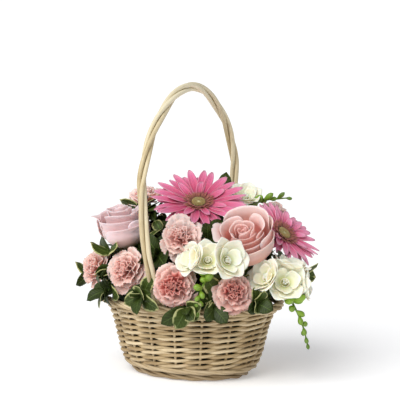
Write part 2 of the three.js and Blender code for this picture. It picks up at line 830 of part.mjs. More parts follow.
const CARNATIONS = [
  { name: 'carnation_front_top', at: vec(26, -66, 170), facing: vec(0.38, -0.77, 0.51), radius: 24,
    root: vec(12, -22, 88), seed: 11 },
  { name: 'carnation_front_middle', at: vec(30, -90, 117), facing: vec(0.39, -0.9, 0.2), radius: 25,
    root: vec(17, -36, 92), seed: 12 },
  { name: 'carnation_front_right', at: vec(91, -62, 112), facing: vec(0.51, -0.8, 0.3), radius: 22,
    root: vec(48, -27, 92), seed: 13 },
  { name: 'carnation_left_front', at: vec(-44, -76, 128), facing: vec(-0.1, -0.96, 0.25), radius: 24,
    root: vec(-24, -32, 90), seed: 14 },
  { name: 'carnation_left_end', at: vec(-101, -52, 123), facing: vec(-0.41, -0.82, 0.41), radius: 22,
    root: vec(-56, -18, 90), seed: 15 },
  { name: 'carnation_left_high', at: vec(-70, 12, 204), facing: vec(-0.21, -0.23, 0.95), radius: 19,
    root: vec(-40, 6, 88), seed: 16, full: false },
  { name: 'carnation_right_high', at: vec(66, 89, 186), facing: vec(0.3, 0.2, 0.93), radius: 16,
    root: vec(32, 36, 88), seed: 17, full: false, colour: CARNATION_PALE },
  { name: 'carnation_back_left', at: vec(-88, 54, 132), facing: vec(-0.62, 0.66, 0.42), radius: 22,
    root: vec(-50, 24, 90), seed: 18, full: false },
  { name: 'carnation_back_middle', at: vec(30, 92, 124), facing: vec(0.15, 0.92, 0.36), radius: 22,
    root: vec(16, 38, 92), seed: 19, full: false },
];

const FREESIAS = [
  { name: 'freesia_front', joint: vec(54, -54, 134), seed: 21,
    root: vec(30, -28, 90), line: [vec(47, -50, 127), vec(60, -66, 128), vec(61, -84, 112), vec(59, -86, 90)],
    florets: [
      { at: vec(64, -73, 149), radius: 18 },
      { at: vec(44, -81, 149), radius: 16.5, open: 0.85 },
      { at: vec(88, -64, 149), radius: 19 },
    ],
    buds: [
      { share: 0.52, to: vec(57, -79, 137), thick: 3.4 },
      { share: 0.6, to: vec(71, -76, 133), thick: 3.2 },
      { share: 0.7, to: vec(57, -92, 119), thick: 2.8 },
      { share: 0.9, to: vec(57, -90, 98), thick: 2.4 },
      { share: 1, to: vec(58, -87, 84), thick: 2 },
    ] },
  { name: 'freesia_right', joint: vec(122, -6, 110.2), seed: 22,
    root: vec(66, -4, 94), line: [vec(104, -6, 107), vec(126, -6, 105), vec(142, -10, 88), vec(149, -4, 66),
      vec(152, 0, 48)],
    florets: [
      { at: vec(114, -36, 129), radius: 17, open: 0.85 },
      { at: vec(136, -22, 122), radius: 20 },
      { at: vec(131, -1, 140), radius: 18 },
      { at: vec(151, 4, 114), radius: 15, open: 0.85 },
    ],
    buds: [
      { share: 0.5, to: vec(150, -6, 99), thick: 3.4 },
      { share: 0.58, to: vec(137, -16, 88), thick: 2.8 },
      { share: 0.76, to: vec(154, -4, 72), thick: 2.4 },
      { share: 0.86, to: vec(146, -4, 59), thick: 2.2 },
      { share: 1, to: vec(153, 1, 41), thick: 1.8 },
    ] },
  { name: 'freesia_back_right', joint: vec(36, 62, 188), seed: 23,
    root: vec(12, 24, 88), line: [vec(32, 56, 170), vec(40, 66, 188), vec(56, 66, 196), vec(84, 80, 200)],
    florets: [
      { at: vec(38, 67, 209), radius: 15 },
      { at: vec(28, 82, 200), radius: 13, open: 0.85 },
    ],
    buds: [
      { share: 0.62, to: vec(62, 62, 203), thick: 3.2 },
      { share: 0.8, to: vec(72, 70, 206), thick: 2.6 },
      { share: 0.92, to: vec(84, 76, 207), thick: 2.2 },
      { share: 1, to: vec(90, 84, 199), thick: 1.8 },
    ] },
];

const SPRIGS = [
  { name: 'sprig_left_end', root: vec(-66, -6, 90), line: [vec(-88, -14, 106), vec(-112, -30, 108)],
    leaves: [
      [0.35, vec(-104, 4, 114), 21], [0.65, vec(-124, -8, 116), 18], [0.9, vec(-134, -40, 122), 18],
      [1, vec(-128, -48, 98), 18], [0.6, vec(-108, -22, 136), 18],
    ] },
  { name: 'sprig_left_middle', root: vec(-40, -22, 88), line: [vec(-60, -34, 122), vec(-80, -48, 140)],
    leaves: [
      [0.45, vec(-84, -12, 130), 21], [0.6, vec(-42, -50, 142), 20], [0.85, vec(-58, -64, 138), 18],
      [1, vec(-104, -30, 156), 16],
    ] },
  { name: 'sprig_left_front', root: vec(-42, -32, 90), line: [vec(-60, -56, 104), vec(-70, -74, 100)],
    leaves: [
      [0.4, vec(-80, -46, 112), 19], [0.7, vec(-90, -70, 98), 18], [0.95, vec(-72, -86, 82), 19],
      [0.8, vec(-48, -82, 96), 18], [1, vec(-88, -86, 90), 17],
    ] },
  { name: 'sprig_front_left', root: vec(-4, -38, 90), line: [vec(-12, -62, 104), vec(-14, -86, 102)],
    leaves: [
      [0.6, vec(-30, -82, 108), 18], [0.9, vec(-32, -94, 92), 18], [1, vec(-6, -104, 114), 19],
      [1, vec(-10, -104, 84), 18],
    ] },
  { name: 'sprig_front_middle', root: vec(34, -38, 90), line: [vec(40, -66, 98), vec(44, -86, 93)],
    leaves: [
      [0.6, vec(20, -66, 102), 18], [0.95, vec(20, -100, 75), 19], [1, vec(40, -102, 72), 20],
      [1, vec(58, -94, 82), 18],
    ] },
  { name: 'sprig_front_centre', root: vec(52, -30, 90), line: [vec(62, -54, 102), vec(70, -70, 94)],
    leaves: [
      [0.4, vec(78, -40, 122), 21], [0.75, vec(52, -70, 112), 18], [1, vec(88, -72, 78), 18],
      [1, vec(70, -88, 84), 18],
    ] },
  { name: 'sprig_front_right', root: vec(64, -22, 90), line: [vec(92, -36, 104), vec(114, -48, 98)],
    leaves: [
      [0.3, vec(90, -26, 134), 20], [0.6, vec(114, -20, 104), 18], [0.9, vec(112, -66, 92), 17],
      [1, vec(132, -50, 92), 18],
    ] },
  { name: 'sprig_centre_left', root: vec(-8, -18, 86), line: [vec(-6, -42, 124), vec(-10, -56, 146)],
    leaves: [
      [0.35, vec(12, -52, 128), 22], [0.5, vec(-24, -62, 126), 20], [0.75, vec(-2, -80, 150), 21],
      [1, vec(-26, -60, 168), 20], [1, vec(2, -52, 168), 18],
    ] },
  { name: 'sprig_centre_front', root: vec(22, -20, 86), line: [vec(38, -34, 140), vec(46, -42, 164)],
    leaves: [
      [0.3, vec(54, -33, 124), 22], [0.45, vec(20, -44, 136), 22], [0.75, vec(60, -44, 158), 19],
      [1, vec(48, -50, 184), 17], [0.7, vec(24, -32, 158), 20],
    ] },
  { name: 'sprig_left_high', root: vec(-48, 4, 86), line: [vec(-58, 4, 150), vec(-66, -4, 180)],
    leaves: [
      [0.3, vec(-30, -8, 142), 22], [0.5, vec(-92, 2, 164), 21], [0.65, vec(-40, -12, 180), 20],
      [1, vec(-88, -12, 198), 18],
    ] },
  { name: 'sprig_right_end', root: vec(62, 10, 90), line: [vec(104, 20, 116), vec(126, 26, 122)],
    leaves: [
      [0.35, vec(92, 2, 146), 21], [0.55, vec(110, 50, 118), 21], [0.85, vec(140, 46, 116), 19],
      [1, vec(148, 34, 134), 18], [1, vec(146, 18, 110), 17],
    ] },
  { name: 'sprig_top_back', root: vec(4, 16, 86), line: [vec(8, 44, 160), vec(10, 52, 200)],
    leaves: [
      [0.35, vec(-16, 38, 150), 22], [0.5, vec(22, 72, 148), 21], [0.75, vec(22, 68, 194), 18],
      [0.9, vec(-8, 56, 214), 18], [1, vec(14, 62, 228), 18],
    ] },
  { name: 'sprig_back_left', root: vec(-36, 26, 90), line: [vec(-56, 58, 104), vec(-66, 72, 102)],
    leaves: [
      [0.35, vec(-38, 60, 118), 21], [0.5, vec(-76, 44, 110), 20], [0.85, vec(-48, 86, 98), 20],
      [1, vec(-88, 74, 94), 19], [1, vec(-66, 98, 92), 19],
    ] },
  { name: 'sprig_back_middle', root: vec(-4, 34, 90), line: [vec(-18, 56, 108), vec(-24, 78, 104)],
    leaves: [
      [0.4, vec(-2, 48, 128), 20], [0.75, vec(-12, 88, 116), 17], [1, vec(-38, 94, 96), 19],
      [1, vec(-16, 100, 92), 18],
    ] },
  { name: 'sprig_back_right', root: vec(40, 30, 90), line: [vec(64, 52, 106), vec(80, 62, 104)],
    leaves: [
      [0.35, vec(56, 43, 128), 20], [0.45, vec(88, 34, 112), 21], [0.8, vec(60, 80, 96), 20],
      [0.9, vec(104, 50, 98), 19], [1, vec(88, 86, 96), 19], [0.75, vec(84, 62, 134), 20],
    ] },
];

// Building the group

const arrangement = new THREE.Group();

function addPart(name, body, colour, roughness, place) {
  const material = new THREE.MeshStandardMaterial({ color: colour, roughness, metalness: 0 });
  const mesh = new THREE.Mesh(geometryOf(body), material);
  mesh.name = name;
  if (place) {
    mesh.position.copy(place.at);
    mesh.quaternion.setFromUnitVectors(vec(0, 0, 1), place.facing);
  }
  arrangement.add(mesh);
}

for (const head of [...GERBERAS, ...ROSES, ...CARNATIONS]) {
  head.facing.normalize();
}

addPart('basket_base', basketBase(), WICKER, 0.75);
addPart('basket_foot', woundRing(FOOT), WICKER, 0.75);
addPart('basket_wall', basketWall(), WICKER, 0.75);
addPart('basket_rim', woundRing(RIM), WICKER, 0.75);
for (let index = 0; index < HANDLE.rods; index += 1) {
  addPart(`handle_rod_${index + 1}`, handleRod(index), HANDLE_STRAW, 0.65);
}
addPart('liner', linerTub(), LINER_GREEN, 0.6);

for (const gerbera of GERBERAS) {
  addPart(`${gerbera.name}_petals`, gerberaPetals(gerbera), GERBERA_PINK, 0.6, gerbera);
  addPart(`${gerbera.name}_eye`, gerberaEye(), GERBERA_EYE, 0.8, gerbera);
  addPart(`${gerbera.name}_stem`, stemWithCalyx({ ...gerbera, radius: 2.3, calyx: GERBERA_CALYX }),
    STEM_GREEN, 0.6);
}
for (const rose of ROSES) {
  addPart(`${rose.name}_petals`, rosePetals(rose), rose.colour, 0.65, rose);
  addPart(`${rose.name}_stem`, stemWithCalyx({ ...rose, radius: 2.2, calyx: roseCalyx(rose.radius) }),
    STEM_GREEN, 0.6);
}
for (const carnation of CARNATIONS) {
  const { name, radius, colour = CARNATION_PINK } = carnation;
  addPart(`${name}_petals`, carnationPetals(carnation), colour, 0.7, carnation);
  const calyx = carnationCalyx(radius);
  addPart(`${name}_stem`, stemWithCalyx({ ...carnation, radius: 1.5, calyx, sides: 4 }), STEM_GREEN, 0.6);
}
for (const freesia of FREESIAS) {
  addPart(`${freesia.name}_florets`, freesiaWhite(freesia), FREESIA_WHITE, 0.6);
  addPart(`${freesia.name}_stem`, freesiaGreen(freesia), STEM_GREEN, 0.6);
}
for (const spray of SPRIGS) {
  addPart(spray.name, sprig(spray), spray.name.includes('high') ? LEAF_LIGHT : LEAF_GREEN, 0.5);
}
addPart('floral_foam', foamBlock(STEM_HOLES), FOAM_GREEN, 0.9);

export default arrangement;
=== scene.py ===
"""A flower basket arrangement: an oval wicker basket with a wound handle, filled with gerberas, roses,
spray carnations, freesias and sprigs of rounded leaves.

Lengths in the code are millimetres and are turned to metres where a mesh is written. +X runs along
the long axis of the oval, +Y along the span of the handle, and the basket stands on z = 0.
"""

import json
import math
import random

import bpy
import numpy as np
from bpy.props import FloatProperty, FloatVectorProperty, IntProperty, PointerProperty
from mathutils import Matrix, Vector

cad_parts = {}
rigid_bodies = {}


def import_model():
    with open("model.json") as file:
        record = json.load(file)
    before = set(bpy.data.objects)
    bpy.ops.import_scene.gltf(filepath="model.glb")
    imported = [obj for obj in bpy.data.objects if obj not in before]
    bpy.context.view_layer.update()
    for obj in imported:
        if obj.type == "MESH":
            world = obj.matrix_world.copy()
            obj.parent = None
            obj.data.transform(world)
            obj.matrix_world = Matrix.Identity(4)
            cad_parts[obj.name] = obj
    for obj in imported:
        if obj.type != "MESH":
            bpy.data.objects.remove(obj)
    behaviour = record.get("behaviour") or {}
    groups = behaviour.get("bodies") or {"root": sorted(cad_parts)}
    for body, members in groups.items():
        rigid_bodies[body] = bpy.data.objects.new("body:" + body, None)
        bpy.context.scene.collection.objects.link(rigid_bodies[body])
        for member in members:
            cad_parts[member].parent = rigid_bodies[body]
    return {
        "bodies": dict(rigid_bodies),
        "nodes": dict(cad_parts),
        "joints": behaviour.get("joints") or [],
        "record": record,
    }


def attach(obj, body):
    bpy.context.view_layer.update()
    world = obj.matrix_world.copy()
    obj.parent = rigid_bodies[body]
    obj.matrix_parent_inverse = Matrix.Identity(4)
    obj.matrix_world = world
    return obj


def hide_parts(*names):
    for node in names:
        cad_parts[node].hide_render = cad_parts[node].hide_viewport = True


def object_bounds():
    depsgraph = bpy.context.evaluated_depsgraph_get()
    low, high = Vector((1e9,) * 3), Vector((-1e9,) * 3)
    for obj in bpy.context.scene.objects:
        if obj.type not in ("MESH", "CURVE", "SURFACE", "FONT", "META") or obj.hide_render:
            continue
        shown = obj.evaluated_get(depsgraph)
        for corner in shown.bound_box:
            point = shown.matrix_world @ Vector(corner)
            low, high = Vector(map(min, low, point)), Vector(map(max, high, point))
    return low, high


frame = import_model()
CAD_BOX = [list(corner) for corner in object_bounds()]
NODES = frame["nodes"]

bl_info = {
    "name": "Flower Basket Arrangement",
    "version": (1, 0, 0),
    "blender": (4, 5, 0),
    "location": "View3D > Sidebar > Flower Basket",
    "description": "Weaves the basket, grows the flowers and foliage in it and sets the stage",
    "category": "Add Mesh",
}

MM = 0.001
# Millimetres of a cane that one unit of its UV map covers
UV_LENGTH = 10
# Top of the range of a random phase, and the turn from one to the next in a spiral, in radians
PHASE = 6.28
SPIRAL_TURN = 2.39996

# Half lengths of the wall's outer oval at each height
WALL_PROFILE = [
    (8.6, 75.6, 56.4), (15, 84.2, 61.4), (24, 88.4, 63.2), (34, 91.4, 64.9), (46, 94.2, 66.6),
    (60, 98.0, 69.2), (70, 101.6, 71.4), (76.4, 104.3, 73.0), (80.1, 110.4, 76.6),
]
# Half lengths and height of the middle of the rods round the rim and round the foot
RIM = (110.8, 76.4, 84.8)
FOOT = (69.2, 51.5, 4.4)
# Width of the oval for its length, and the steps in which its edge is measured
OVAL_RATIO = 0.7
OVAL_STEPS = 2880
# Faces round a rod, and where the stakes stand from the wall's outside
ROD_SIDES = 8
STAKE_OFFSET = -3.6
# How far the weft swings from the stakes, its points from one to the next, and how near the handle's
# feet, within half a width, it may swing inwards
WEFT_SWING = 2.3
WEFT_STEPS = 12
WEFT_AT_HANDLE = (10, -3.8)
# The three rods at the foot of the wall: their height above it and how far they stand in
WALL_BAND = (3.6, 1.6)
# The tub: heights of its floor, of the foot of its side and of its edge, and how far it stands inside
# the wall at each height
LINER_HEIGHTS = (4.5, 4.9, 84)
LINER_GAP = ((4, 8, 12, 76, 84), (8.8, 8.8, 8.6, 8.6, 12.5))
# How far the tub gives way to the handle's feet
LINER_DENT = 3.2

# The handle's middle line: its top, half span and height where it is widest, roundness of the arch,
# half span, height and end of its feet, and how far these stand inside the wall
HANDLE_TOP = 333
HANDLE_BULGE = (107.4, 226.2)
HANDLE_ROUNDNESS = 1.79
HANDLE_FOOT = (67.2, 86, 52)
HANDLE_INSET = 8.1
# Shares of the way from the top to a foot: the end of the arch, the end of the winding, and where the
# canes stand side by side
HANDLE_ARCH = 0.62
HANDLE_WOUND = 0.76
HANDLE_STRAIGHT = 8 / 9
# The canes' way from the middle line, their spacing at the feet, how often they go round, and their
# places at the front foot and at the back one
HANDLE_LAY = 3.25
HANDLE_SPACING = 5.6
HANDLE_TURNS = 8 / 3
FRONT_PLACES = (0, -1, 1)
BACK_PLACES = (1, 0, -1)

# How deep a stem stands in the foam, and the middle of the bunch, from which leaves turn outwards
STEM_DEPTH = 22
HEART = np.array((0.0, 0.0, 112.0))
# Room of a rose of size 1: where it starts and ends along its axis, and its radius
ROSE_ROOM = (8, 60, 33.5)
# Radius of the carnation that the petals are modelled for
CARNATION_RADIUS = 24
# Radians over the width of a gerbera's petal, for six creases
CREASE_TURN = 18.85
# Radians from one stamen of a freesia to the next
STAMEN_TURN = 1.2566
# Thickness of petals, leaves and the tub, in millimetres
THICKNESS = dict(gerbera=0.55, rose=0.35, carnation=0.4, freesia=0.4, leaf=0.5, liner=0.6)
# The base board's length for its width, and radians a metre for rounds of cane 3.6 mm apart
BASE_STRETCH = 1.37
ROUND_TURN = 1745
# Room of the handle's feet: half its width, where it starts to the front and back, and its least height
HANDLE_ROOM = (9, 58, 84)
# Half sizes of the oval inside the rim, and the least height of a leaf's tip inside and outside it
RIM_INSIDE = (108, 73)
LEAF_LOWEST = (97, 72)
# The heights between which leaves keep off the rim's rods, and how far, as a share of its size
RIM_ROOM = (70, 95, 0.11)
# Half sizes of the oval where the rim's twigs end, and the top of the foam
RIM_TWIG_ENDS = (103, 70)
FOAM_TOP = 96
# Half sizes of the dome that the filler twigs reach to
FILLER_DOME = (98, 66, 68)
# Places tried for a leaf, and the room in metres that its tip keeps from the sides of the box
LEAF_TRIES = 14
BOX_MARGIN = 0.003

# The camera: what it looks at, in metres, its angles round from the front and up, its sensor in mm
CAMERA_AIM = Vector((0.0098, 0.0055, 0.2014))
CAMERA_ROUND = math.radians(29.5)
CAMERA_UP = math.radians(7.5)
CAMERA_SENSOR = 36
CAMERA_CLIP = (0.05, 200)
# The key light: how far it stands to the camera's left, towards the camera and up, and how wide it is
KEY_PLACE = (0.74, 1.0, 0.98)
KEY_ANGLE = math.radians(50)
SKY_COLOUR = (0.965, 0.98, 1, 1)
# The floor's length and its height just under the basket, in metres
FLOOR_SIZE = 60
FLOOR_LEVEL = -0.0003

# Each gerbera: the place of its eye, the way that it faces, reach and number of its long petals
GERBERAS = [
    dict(name="gerbera_top", at=(12, -2, 197), facing=(0.27, -0.42, 0.87), radius=54, count=22,
         root=(4, -4, 84), seed=3),
    dict(name="gerbera_right", at=(95, 48, 161), facing=(0.71, -0.07, 0.7), radius=46, count=20,
         root=(50, 20, 86), seed=8),
]

# Each rose: the foot of its bloom, the way that it opens (bloom), the side that it shows (front), how
# far its lips turn (open) and how much lower its outer petals stand than its heart (dome)
ROSES = [
    dict(name="rose_front", foot=(84.2, -9.1, 137.1), bloom=(0.045, -0.509, 0.859), size=1.0, tall=1.0,
         front=(0.488, -0.863, 0.13), open=1.0, dome=0.0, root=(42, -10, 86), seed=5, slot="rose_peach"),
    dict(name="rose_left", foot=(-62.7, -39.0, 143.5), bloom=(-0.12, -0.12, 0.985), size=1.0, tall=1.1,
         front=(0.3, -0.95, 0.0), open=0.8, dome=0.28, root=(-38, -12, 86), seed=6, slot="rose_lilac"),
    dict(name="rose_back", foot=(-26.0, 44.0, 139.0), bloom=(-0.12, 0.5, 0.86), size=0.9, tall=0.95,
         front=(-0.2, 0.98, 0.0), open=0.85, dome=0.1, root=(-14, 30, 86), seed=9, slot="rose_peach"),
]

# Petals of a rose from outside to inside: turn from its right side in degrees, radius and height of the
# lip, half of the angle that it wraps, how far the lip rolls out, bulge, lap over the next petal, depth
ROSE_PETALS = [
    (58, 30.5, 58, 1.15, 0.6, 0.02, 0.05, 0.0),
    (142, 27.0, 50, 0.9, 0.8, 0.02, 0.05, 0.0),
    (176, 25.5, 60, 0.66, 2.3, 0.02, 0.0, 0.0),
    (-55, 30.0, 39, 1.15, 1.0, 0.05, 0.04, 0.0),
    (-14, 31.0, 51, 0.85, 0.7, 0.03, 0.04, 0.0),
    (-106, 25.0, 46, 1.2, 1.2, 0.05, 0.05, 0.0),
    (132, 21.5, 56, 0.95, 0.6, 0.1, 0.1, 0.05),
    (6, 21.0, 55, 1.0, 1.0, 0.12, 0.1, 0.05),
    (-84, 19.5, 49, 1.25, 1.3, 0.14, 0.1, 0.08),
    (-110, 12.4, 51, 1.5, 0.9, 0.4, 0.14, 0.25),
    (18, 13.2, 52, 1.4, 0.3, 0.38, 0.14, 0.3),
    (146, 12.4, 55, 1.4, 0.3, 0.4, 0.16, 0.35),
    (-56, 8.6, 50, 1.7, 0.15, 0.3, 0.18, 0.6),
    (82, 7.4, 52, 1.8, 0.1, 0.3, 0.2, 0.8),
    (200, 5.2, 50, 2.0, 0.1, 0.25, 0.2, 0.95),
    (-30, 3.6, 49, 2.2, 0.0, 0.2, 0.2, 1.0),
    (120, 2.3, 48, 2.4, 0.0, 0.1, 0.2, 1.0),
]

# Each carnation: heart is how deep the colour of its inner petals is, below 0 for a pale bloom; above 0 it
# also deepens its outer petals, painted shade that is strongest on the low blooms, which have it at 1
CARNATIONS = [
    dict(name="carnation_front_top", at=(26, -66, 170), facing=(0.38, -0.77, 0.51), radius=24,
         root=(12, -22, 88), seed=11, heart=0.35),
    dict(name="carnation_front_middle", at=(30, -90, 117), facing=(0.39, -0.9, 0.2), radius=25,
         root=(17, -36, 92), seed=12, heart=1.0),
    dict(name="carnation_front_right", at=(91, -62, 112), facing=(0.51, -0.8, 0.3), radius=22,
         root=(48, -27, 92), seed=13, heart=1.0),
    dict(name="carnation_left_front", at=(-44, -76, 128), facing=(-0.1, -0.96, 0.25), radius=24,
         root=(-24, -32, 90), seed=14, heart=0.3),
    dict(name="carnation_left_end", at=(-101, -52, 123), facing=(-0.41, -0.82, 0.41), radius=22,
         root=(-56, -18, 90), seed=15, heart=0.2),
    dict(name="carnation_left_high", at=(-70, 12, 204), facing=(-0.21, -0.23, 0.95), radius=22,
         root=(-40, 6, 88), seed=16, heart=-0.2),
    dict(name="carnation_right_high", at=(66, 89, 186), facing=(0.3, 0.2, 0.93), radius=18.5,
         root=(32, 36, 88), seed=17, heart=-0.1),
    dict(name="carnation_back_left", at=(-88, 54, 132), facing=(-0.62, 0.66, 0.42), radius=22,
         root=(-50, 24, 90), seed=18, heart=0.5),
    dict(name="carnation_back_middle", at=(30, 92, 124), facing=(0.15, 0.92, 0.36), radius=22,
         root=(16, 38, 92), seed=19, heart=0.5),
]

# Each freesia: where the tubes of its florets start (joint), points of its stem, florets as (middle,
# radius, how far open) and buds as (share of the stem, tip, thickness)
FREESIAS = [
    dict(name="freesia_front", joint=(54, -54, 134), seed=21, root=(30, -28, 90),
         line=[(47, -50, 127), (60, -66, 128), (61, -84, 112), (59, -86, 90)],
         florets=[((64, -73, 149), 18, 1), ((44, -81, 149), 16.5, 0.85), ((92.5, -72.5, 150), 18.5, 1)],
         buds=[(0.52, (57, -79, 137), 3.4), (0.6, (71, -76, 133), 3.2), (0.7, (57, -92, 119), 2.8),
               (0.9, (57, -90, 98), 2.4), (1, (58, -87, 84), 2)]),
    dict(name="freesia_right", joint=(122, -6, 110.2), seed=22, root=(66, -4, 94),
         line=[(104, -6, 107), (126, -6, 105), (142, -10, 88), (149, -4, 66), (152, 0, 48)],
         florets=[((114, -36, 129), 17, 0.85), ((136, -22, 122), 20, 1), ((131, -1, 140), 18, 1),
                  ((151, 4, 114), 15, 0.85)],
         buds=[(0.44, (143, -27, 99), 3.8), (0.47, (155, -12, 103), 3.6), (0.5, (150, -6, 99), 3.4),
               (0.58, (137, -16, 88), 2.8), (0.76, (154, -4, 72), 2.4), (0.86, (146, -4, 59), 2.2),
               (1, (153, 1, 41), 1.8)]),
    dict(name="freesia_back_right", joint=(36, 62, 188), seed=23, root=(12, 24, 88),
         line=[(32, 56, 170), (40, 66, 188), (56, 66, 196), (84, 80, 200)],
         florets=[((45, 54, 207), 15, 1), ((28, 82, 200), 13, 0.85)],
         buds=[(0.62, (62, 62, 203), 3.2), (0.8, (72, 70, 206), 2.6), (0.92, (84, 76, 207), 2.2),
               (1, (90, 84, 199), 1.8)]),
]

# Each sprig: root in the foam, points of its stem, the share of its leaves that have a cream margin
# (light), and leaves as (share of the stem, tip, width)
SPRIGS = [
    dict(name="sprig_left_end", root=(-66, -6, 90), line=[(-88, -14, 106), (-112, -30, 108)], light=0.3,
         leaves=[(0.35, (-104, 4, 114), 21), (0.65, (-124, -8, 116), 18), (0.9, (-134, -40, 122), 18),
                 (1, (-128, -48, 98), 18), (0.6, (-108, -22, 136), 18)]),
    dict(name="sprig_left_middle", root=(-40, -22, 88), line=[(-60, -34, 122), (-80, -48, 140)], light=0.7,
         leaves=[(0.45, (-84, -12, 130), 21), (0.6, (-42, -50, 142), 20), (0.85, (-58, -64, 138), 18),
                 (1, (-104, -30, 156), 16), (0.95, (-98, -62, 152), 18), (1, (-54, -75, 154), 18)]),
    dict(name="sprig_left_front", root=(-42, -32, 90), line=[(-60, -56, 104), (-70, -74, 100)], light=0.2,
         leaves=[(0.4, (-80, -46, 112), 19), (0.7, (-90, -70, 98), 18), (0.95, (-72, -86, 82), 19),
                 (0.8, (-48, -82, 96), 18), (1, (-88, -86, 90), 17)]),
    dict(name="sprig_front_left", root=(-4, -38, 90), line=[(-12, -62, 104), (-14, -86, 102)], light=0.4,
         leaves=[(0.6, (-30, -82, 108), 18), (0.9, (-32, -94, 92), 18), (1, (-6, -104, 114), 19),
                 (1, (-10, -104, 84), 18), (1, (-4, -101, 97), 17), (0.9, (-20, -102, 106), 16),
                 (1, (4, -97, 107), 16), (1, (12, -94, 90), 18), (0.9, (1, -86, 126), 17)]),
    dict(name="sprig_front_middle", root=(34, -38, 90), line=[(40, -66, 98), (44, -86, 93)], light=0.6,
         leaves=[(0.6, (20, -66, 102), 18), (0.95, (20, -100, 75), 19), (1, (40, -102, 72), 20),
                 (1, (58, -94, 82), 18)]),
    dict(name="sprig_front_centre", root=(52, -30, 90), line=[(62, -54, 102), (70, -70, 94)], light=0.6,
         leaves=[(0.4, (78, -40, 122), 21), (0.75, (52, -70, 112), 18), (1, (88, -72, 78), 18),
                 (1, (70, -88, 84), 18)]),
    dict(name="sprig_front_right", root=(64, -22, 90), line=[(92, -36, 104), (114, -48, 98)], light=0.5,
         leaves=[(0.3, (90, -26, 134), 20), (0.6, (114, -20, 104), 18), (0.9, (112, -66, 92), 17),
                 (1, (132, -50, 92), 18)]),
    dict(name="sprig_centre_left", root=(-8, -18, 86), line=[(-6, -42, 124), (-10, -56, 146)], light=0.0,
         leaves=[(0.35, (12, -52, 128), 22), (0.5, (-24, -62, 126), 20), (0.75, (-2, -80, 150), 21),
                 (1, (-26, -60, 168), 20), (1, (2, -52, 168), 18), (1, (15, -85, 139), 27)]),
    dict(name="sprig_centre_front", root=(22, -20, 86), line=[(38, -34, 140), (46, -42, 164)], light=0.1,
         leaves=[(0.3, (54, -33, 124), 22), (0.45, (20, -44, 136), 22), (0.75, (60, -44, 158), 19),
                 (1, (48, -50, 184), 17), (0.7, (24, -32, 158), 20), (1, (52, -14, 183), 20)]),
    dict(name="sprig_left_high", root=(-48, 4, 86), line=[(-58, 4, 150), (-66, -4, 180)], light=0.3,
         leaves=[(0.3, (-30, -8, 142), 22), (0.5, (-92, 2, 164), 21), (0.65, (-40, -12, 180), 20),
                 (1, (-88, -12, 198), 18), (1, (-34, -22, 191), 21), (0.85, (-34, -42, 182), 19),
                 (1, (-42, -2, 203), 19), (0.9, (-35, -11, 199), 18), (1, (-54, -8, 204), 19)]),
    dict(name="sprig_right_end", root=(62, 10, 90), line=[(104, 20, 116), (126, 26, 122)], light=0.5,
         leaves=[(0.35, (92, 2, 146), 21), (0.55, (110, 50, 118), 21), (0.85, (140, 46, 116), 19),
                 (1, (148, 34, 134), 18), (1, (146, 18, 110), 17), (0.4, (112, -3, 146), 20),
                 (0.45, (115, 1, 151), 19)]),
    dict(name="sprig_top_back", root=(4, 16, 86), line=[(8, 44, 160), (10, 52, 200)], light=0.2,
         leaves=[(0.35, (-16, 38, 150), 22), (0.5, (22, 72, 148), 21), (0.75, (22, 68, 194), 18),
                 (0.9, (-8, 56, 214), 18), (1, (14, 62, 228), 18)]),
    dict(name="sprig_back_left", root=(-36, 26, 90), line=[(-56, 58, 104), (-66, 72, 102)], light=0.4,
         leaves=[(0.35, (-38, 60, 118), 21), (0.5, (-76, 44, 110), 20), (0.85, (-48, 86, 98), 20),
                 (1, (-88, 74, 94), 19), (1, (-66, 98, 92), 19)]),
    dict(name="sprig_back_middle", root=(-4, 34, 90), line=[(-18, 56, 108), (-24, 78, 104)], light=0.2,
         leaves=[(0.4, (-2, 48, 128), 20), (0.75, (-12, 88, 116), 17), (1, (-38, 94, 96), 19),
                 (1, (-16, 100, 92), 18)]),
    dict(name="sprig_back_right", root=(40, 30, 90), line=[(64, 52, 106), (80, 62, 104)], light=0.3,
         leaves=[(0.35, (56, 43, 128), 20), (0.45, (88, 34, 112), 21), (0.8, (60, 80, 96), 20),
                 (0.9, (104, 50, 98), 19), (1, (88, 86, 96), 19), (0.75, (84, 62, 134), 20)]),
]
# Ends of twigs that fill the deeper gaps between the blooms
FILLER_TIPS = [
    (-36, -20, 178), (-24, -34, 176), (-46, 4, 182), (-18, -20, 168), (-52, -18, 176), (104, -22, 150),
    (112, -4, 152), (104, 12, 158), (96, -38, 138), (-92, -24, 138), (-84, -40, 128), (-98, -14, 146),
    (60, 40, 178), (70, 20, 172), (30, 60, 176), (-60, 40, 160), (-78, -10, 150), (-74, -24, 140),
    (-88, -4, 142), (-60, -18, 152), (-96, -30, 122), (-70, -62, 122), (-20, -70, 126), (6, -74, 122),
    (70, -66, 108),
]


def srgb(red, green, blue):
    """A colour of a screen, 0 to 255, as the linear colour that a shader takes."""
    def linear(level):
        share = level / 255
        return share / 12.92 if share <= 0.04045 else ((share + 0.055) / 1.055) ** 2.4
    return (linear(red), linear(green), linear(blue), 1.0)


# Sheets, canes and how they become pieces

# The flat grids made so far, by their columns and rows
BLANKS = {}


def deselect():
    """Object mode with nothing selected, so that the next tool acts on its own piece alone."""
    if bpy.context.object and bpy.context.object.mode != "OBJECT":
        bpy.ops.object.mode_set(mode="OBJECT")
    bpy.ops.object.select_all(action="DESELECT")


def pick(piece):
    """The one piece that the next tool acts on."""
    deselect()
    piece.select_set(True)
    bpy.context.view_layer.objects.active = piece


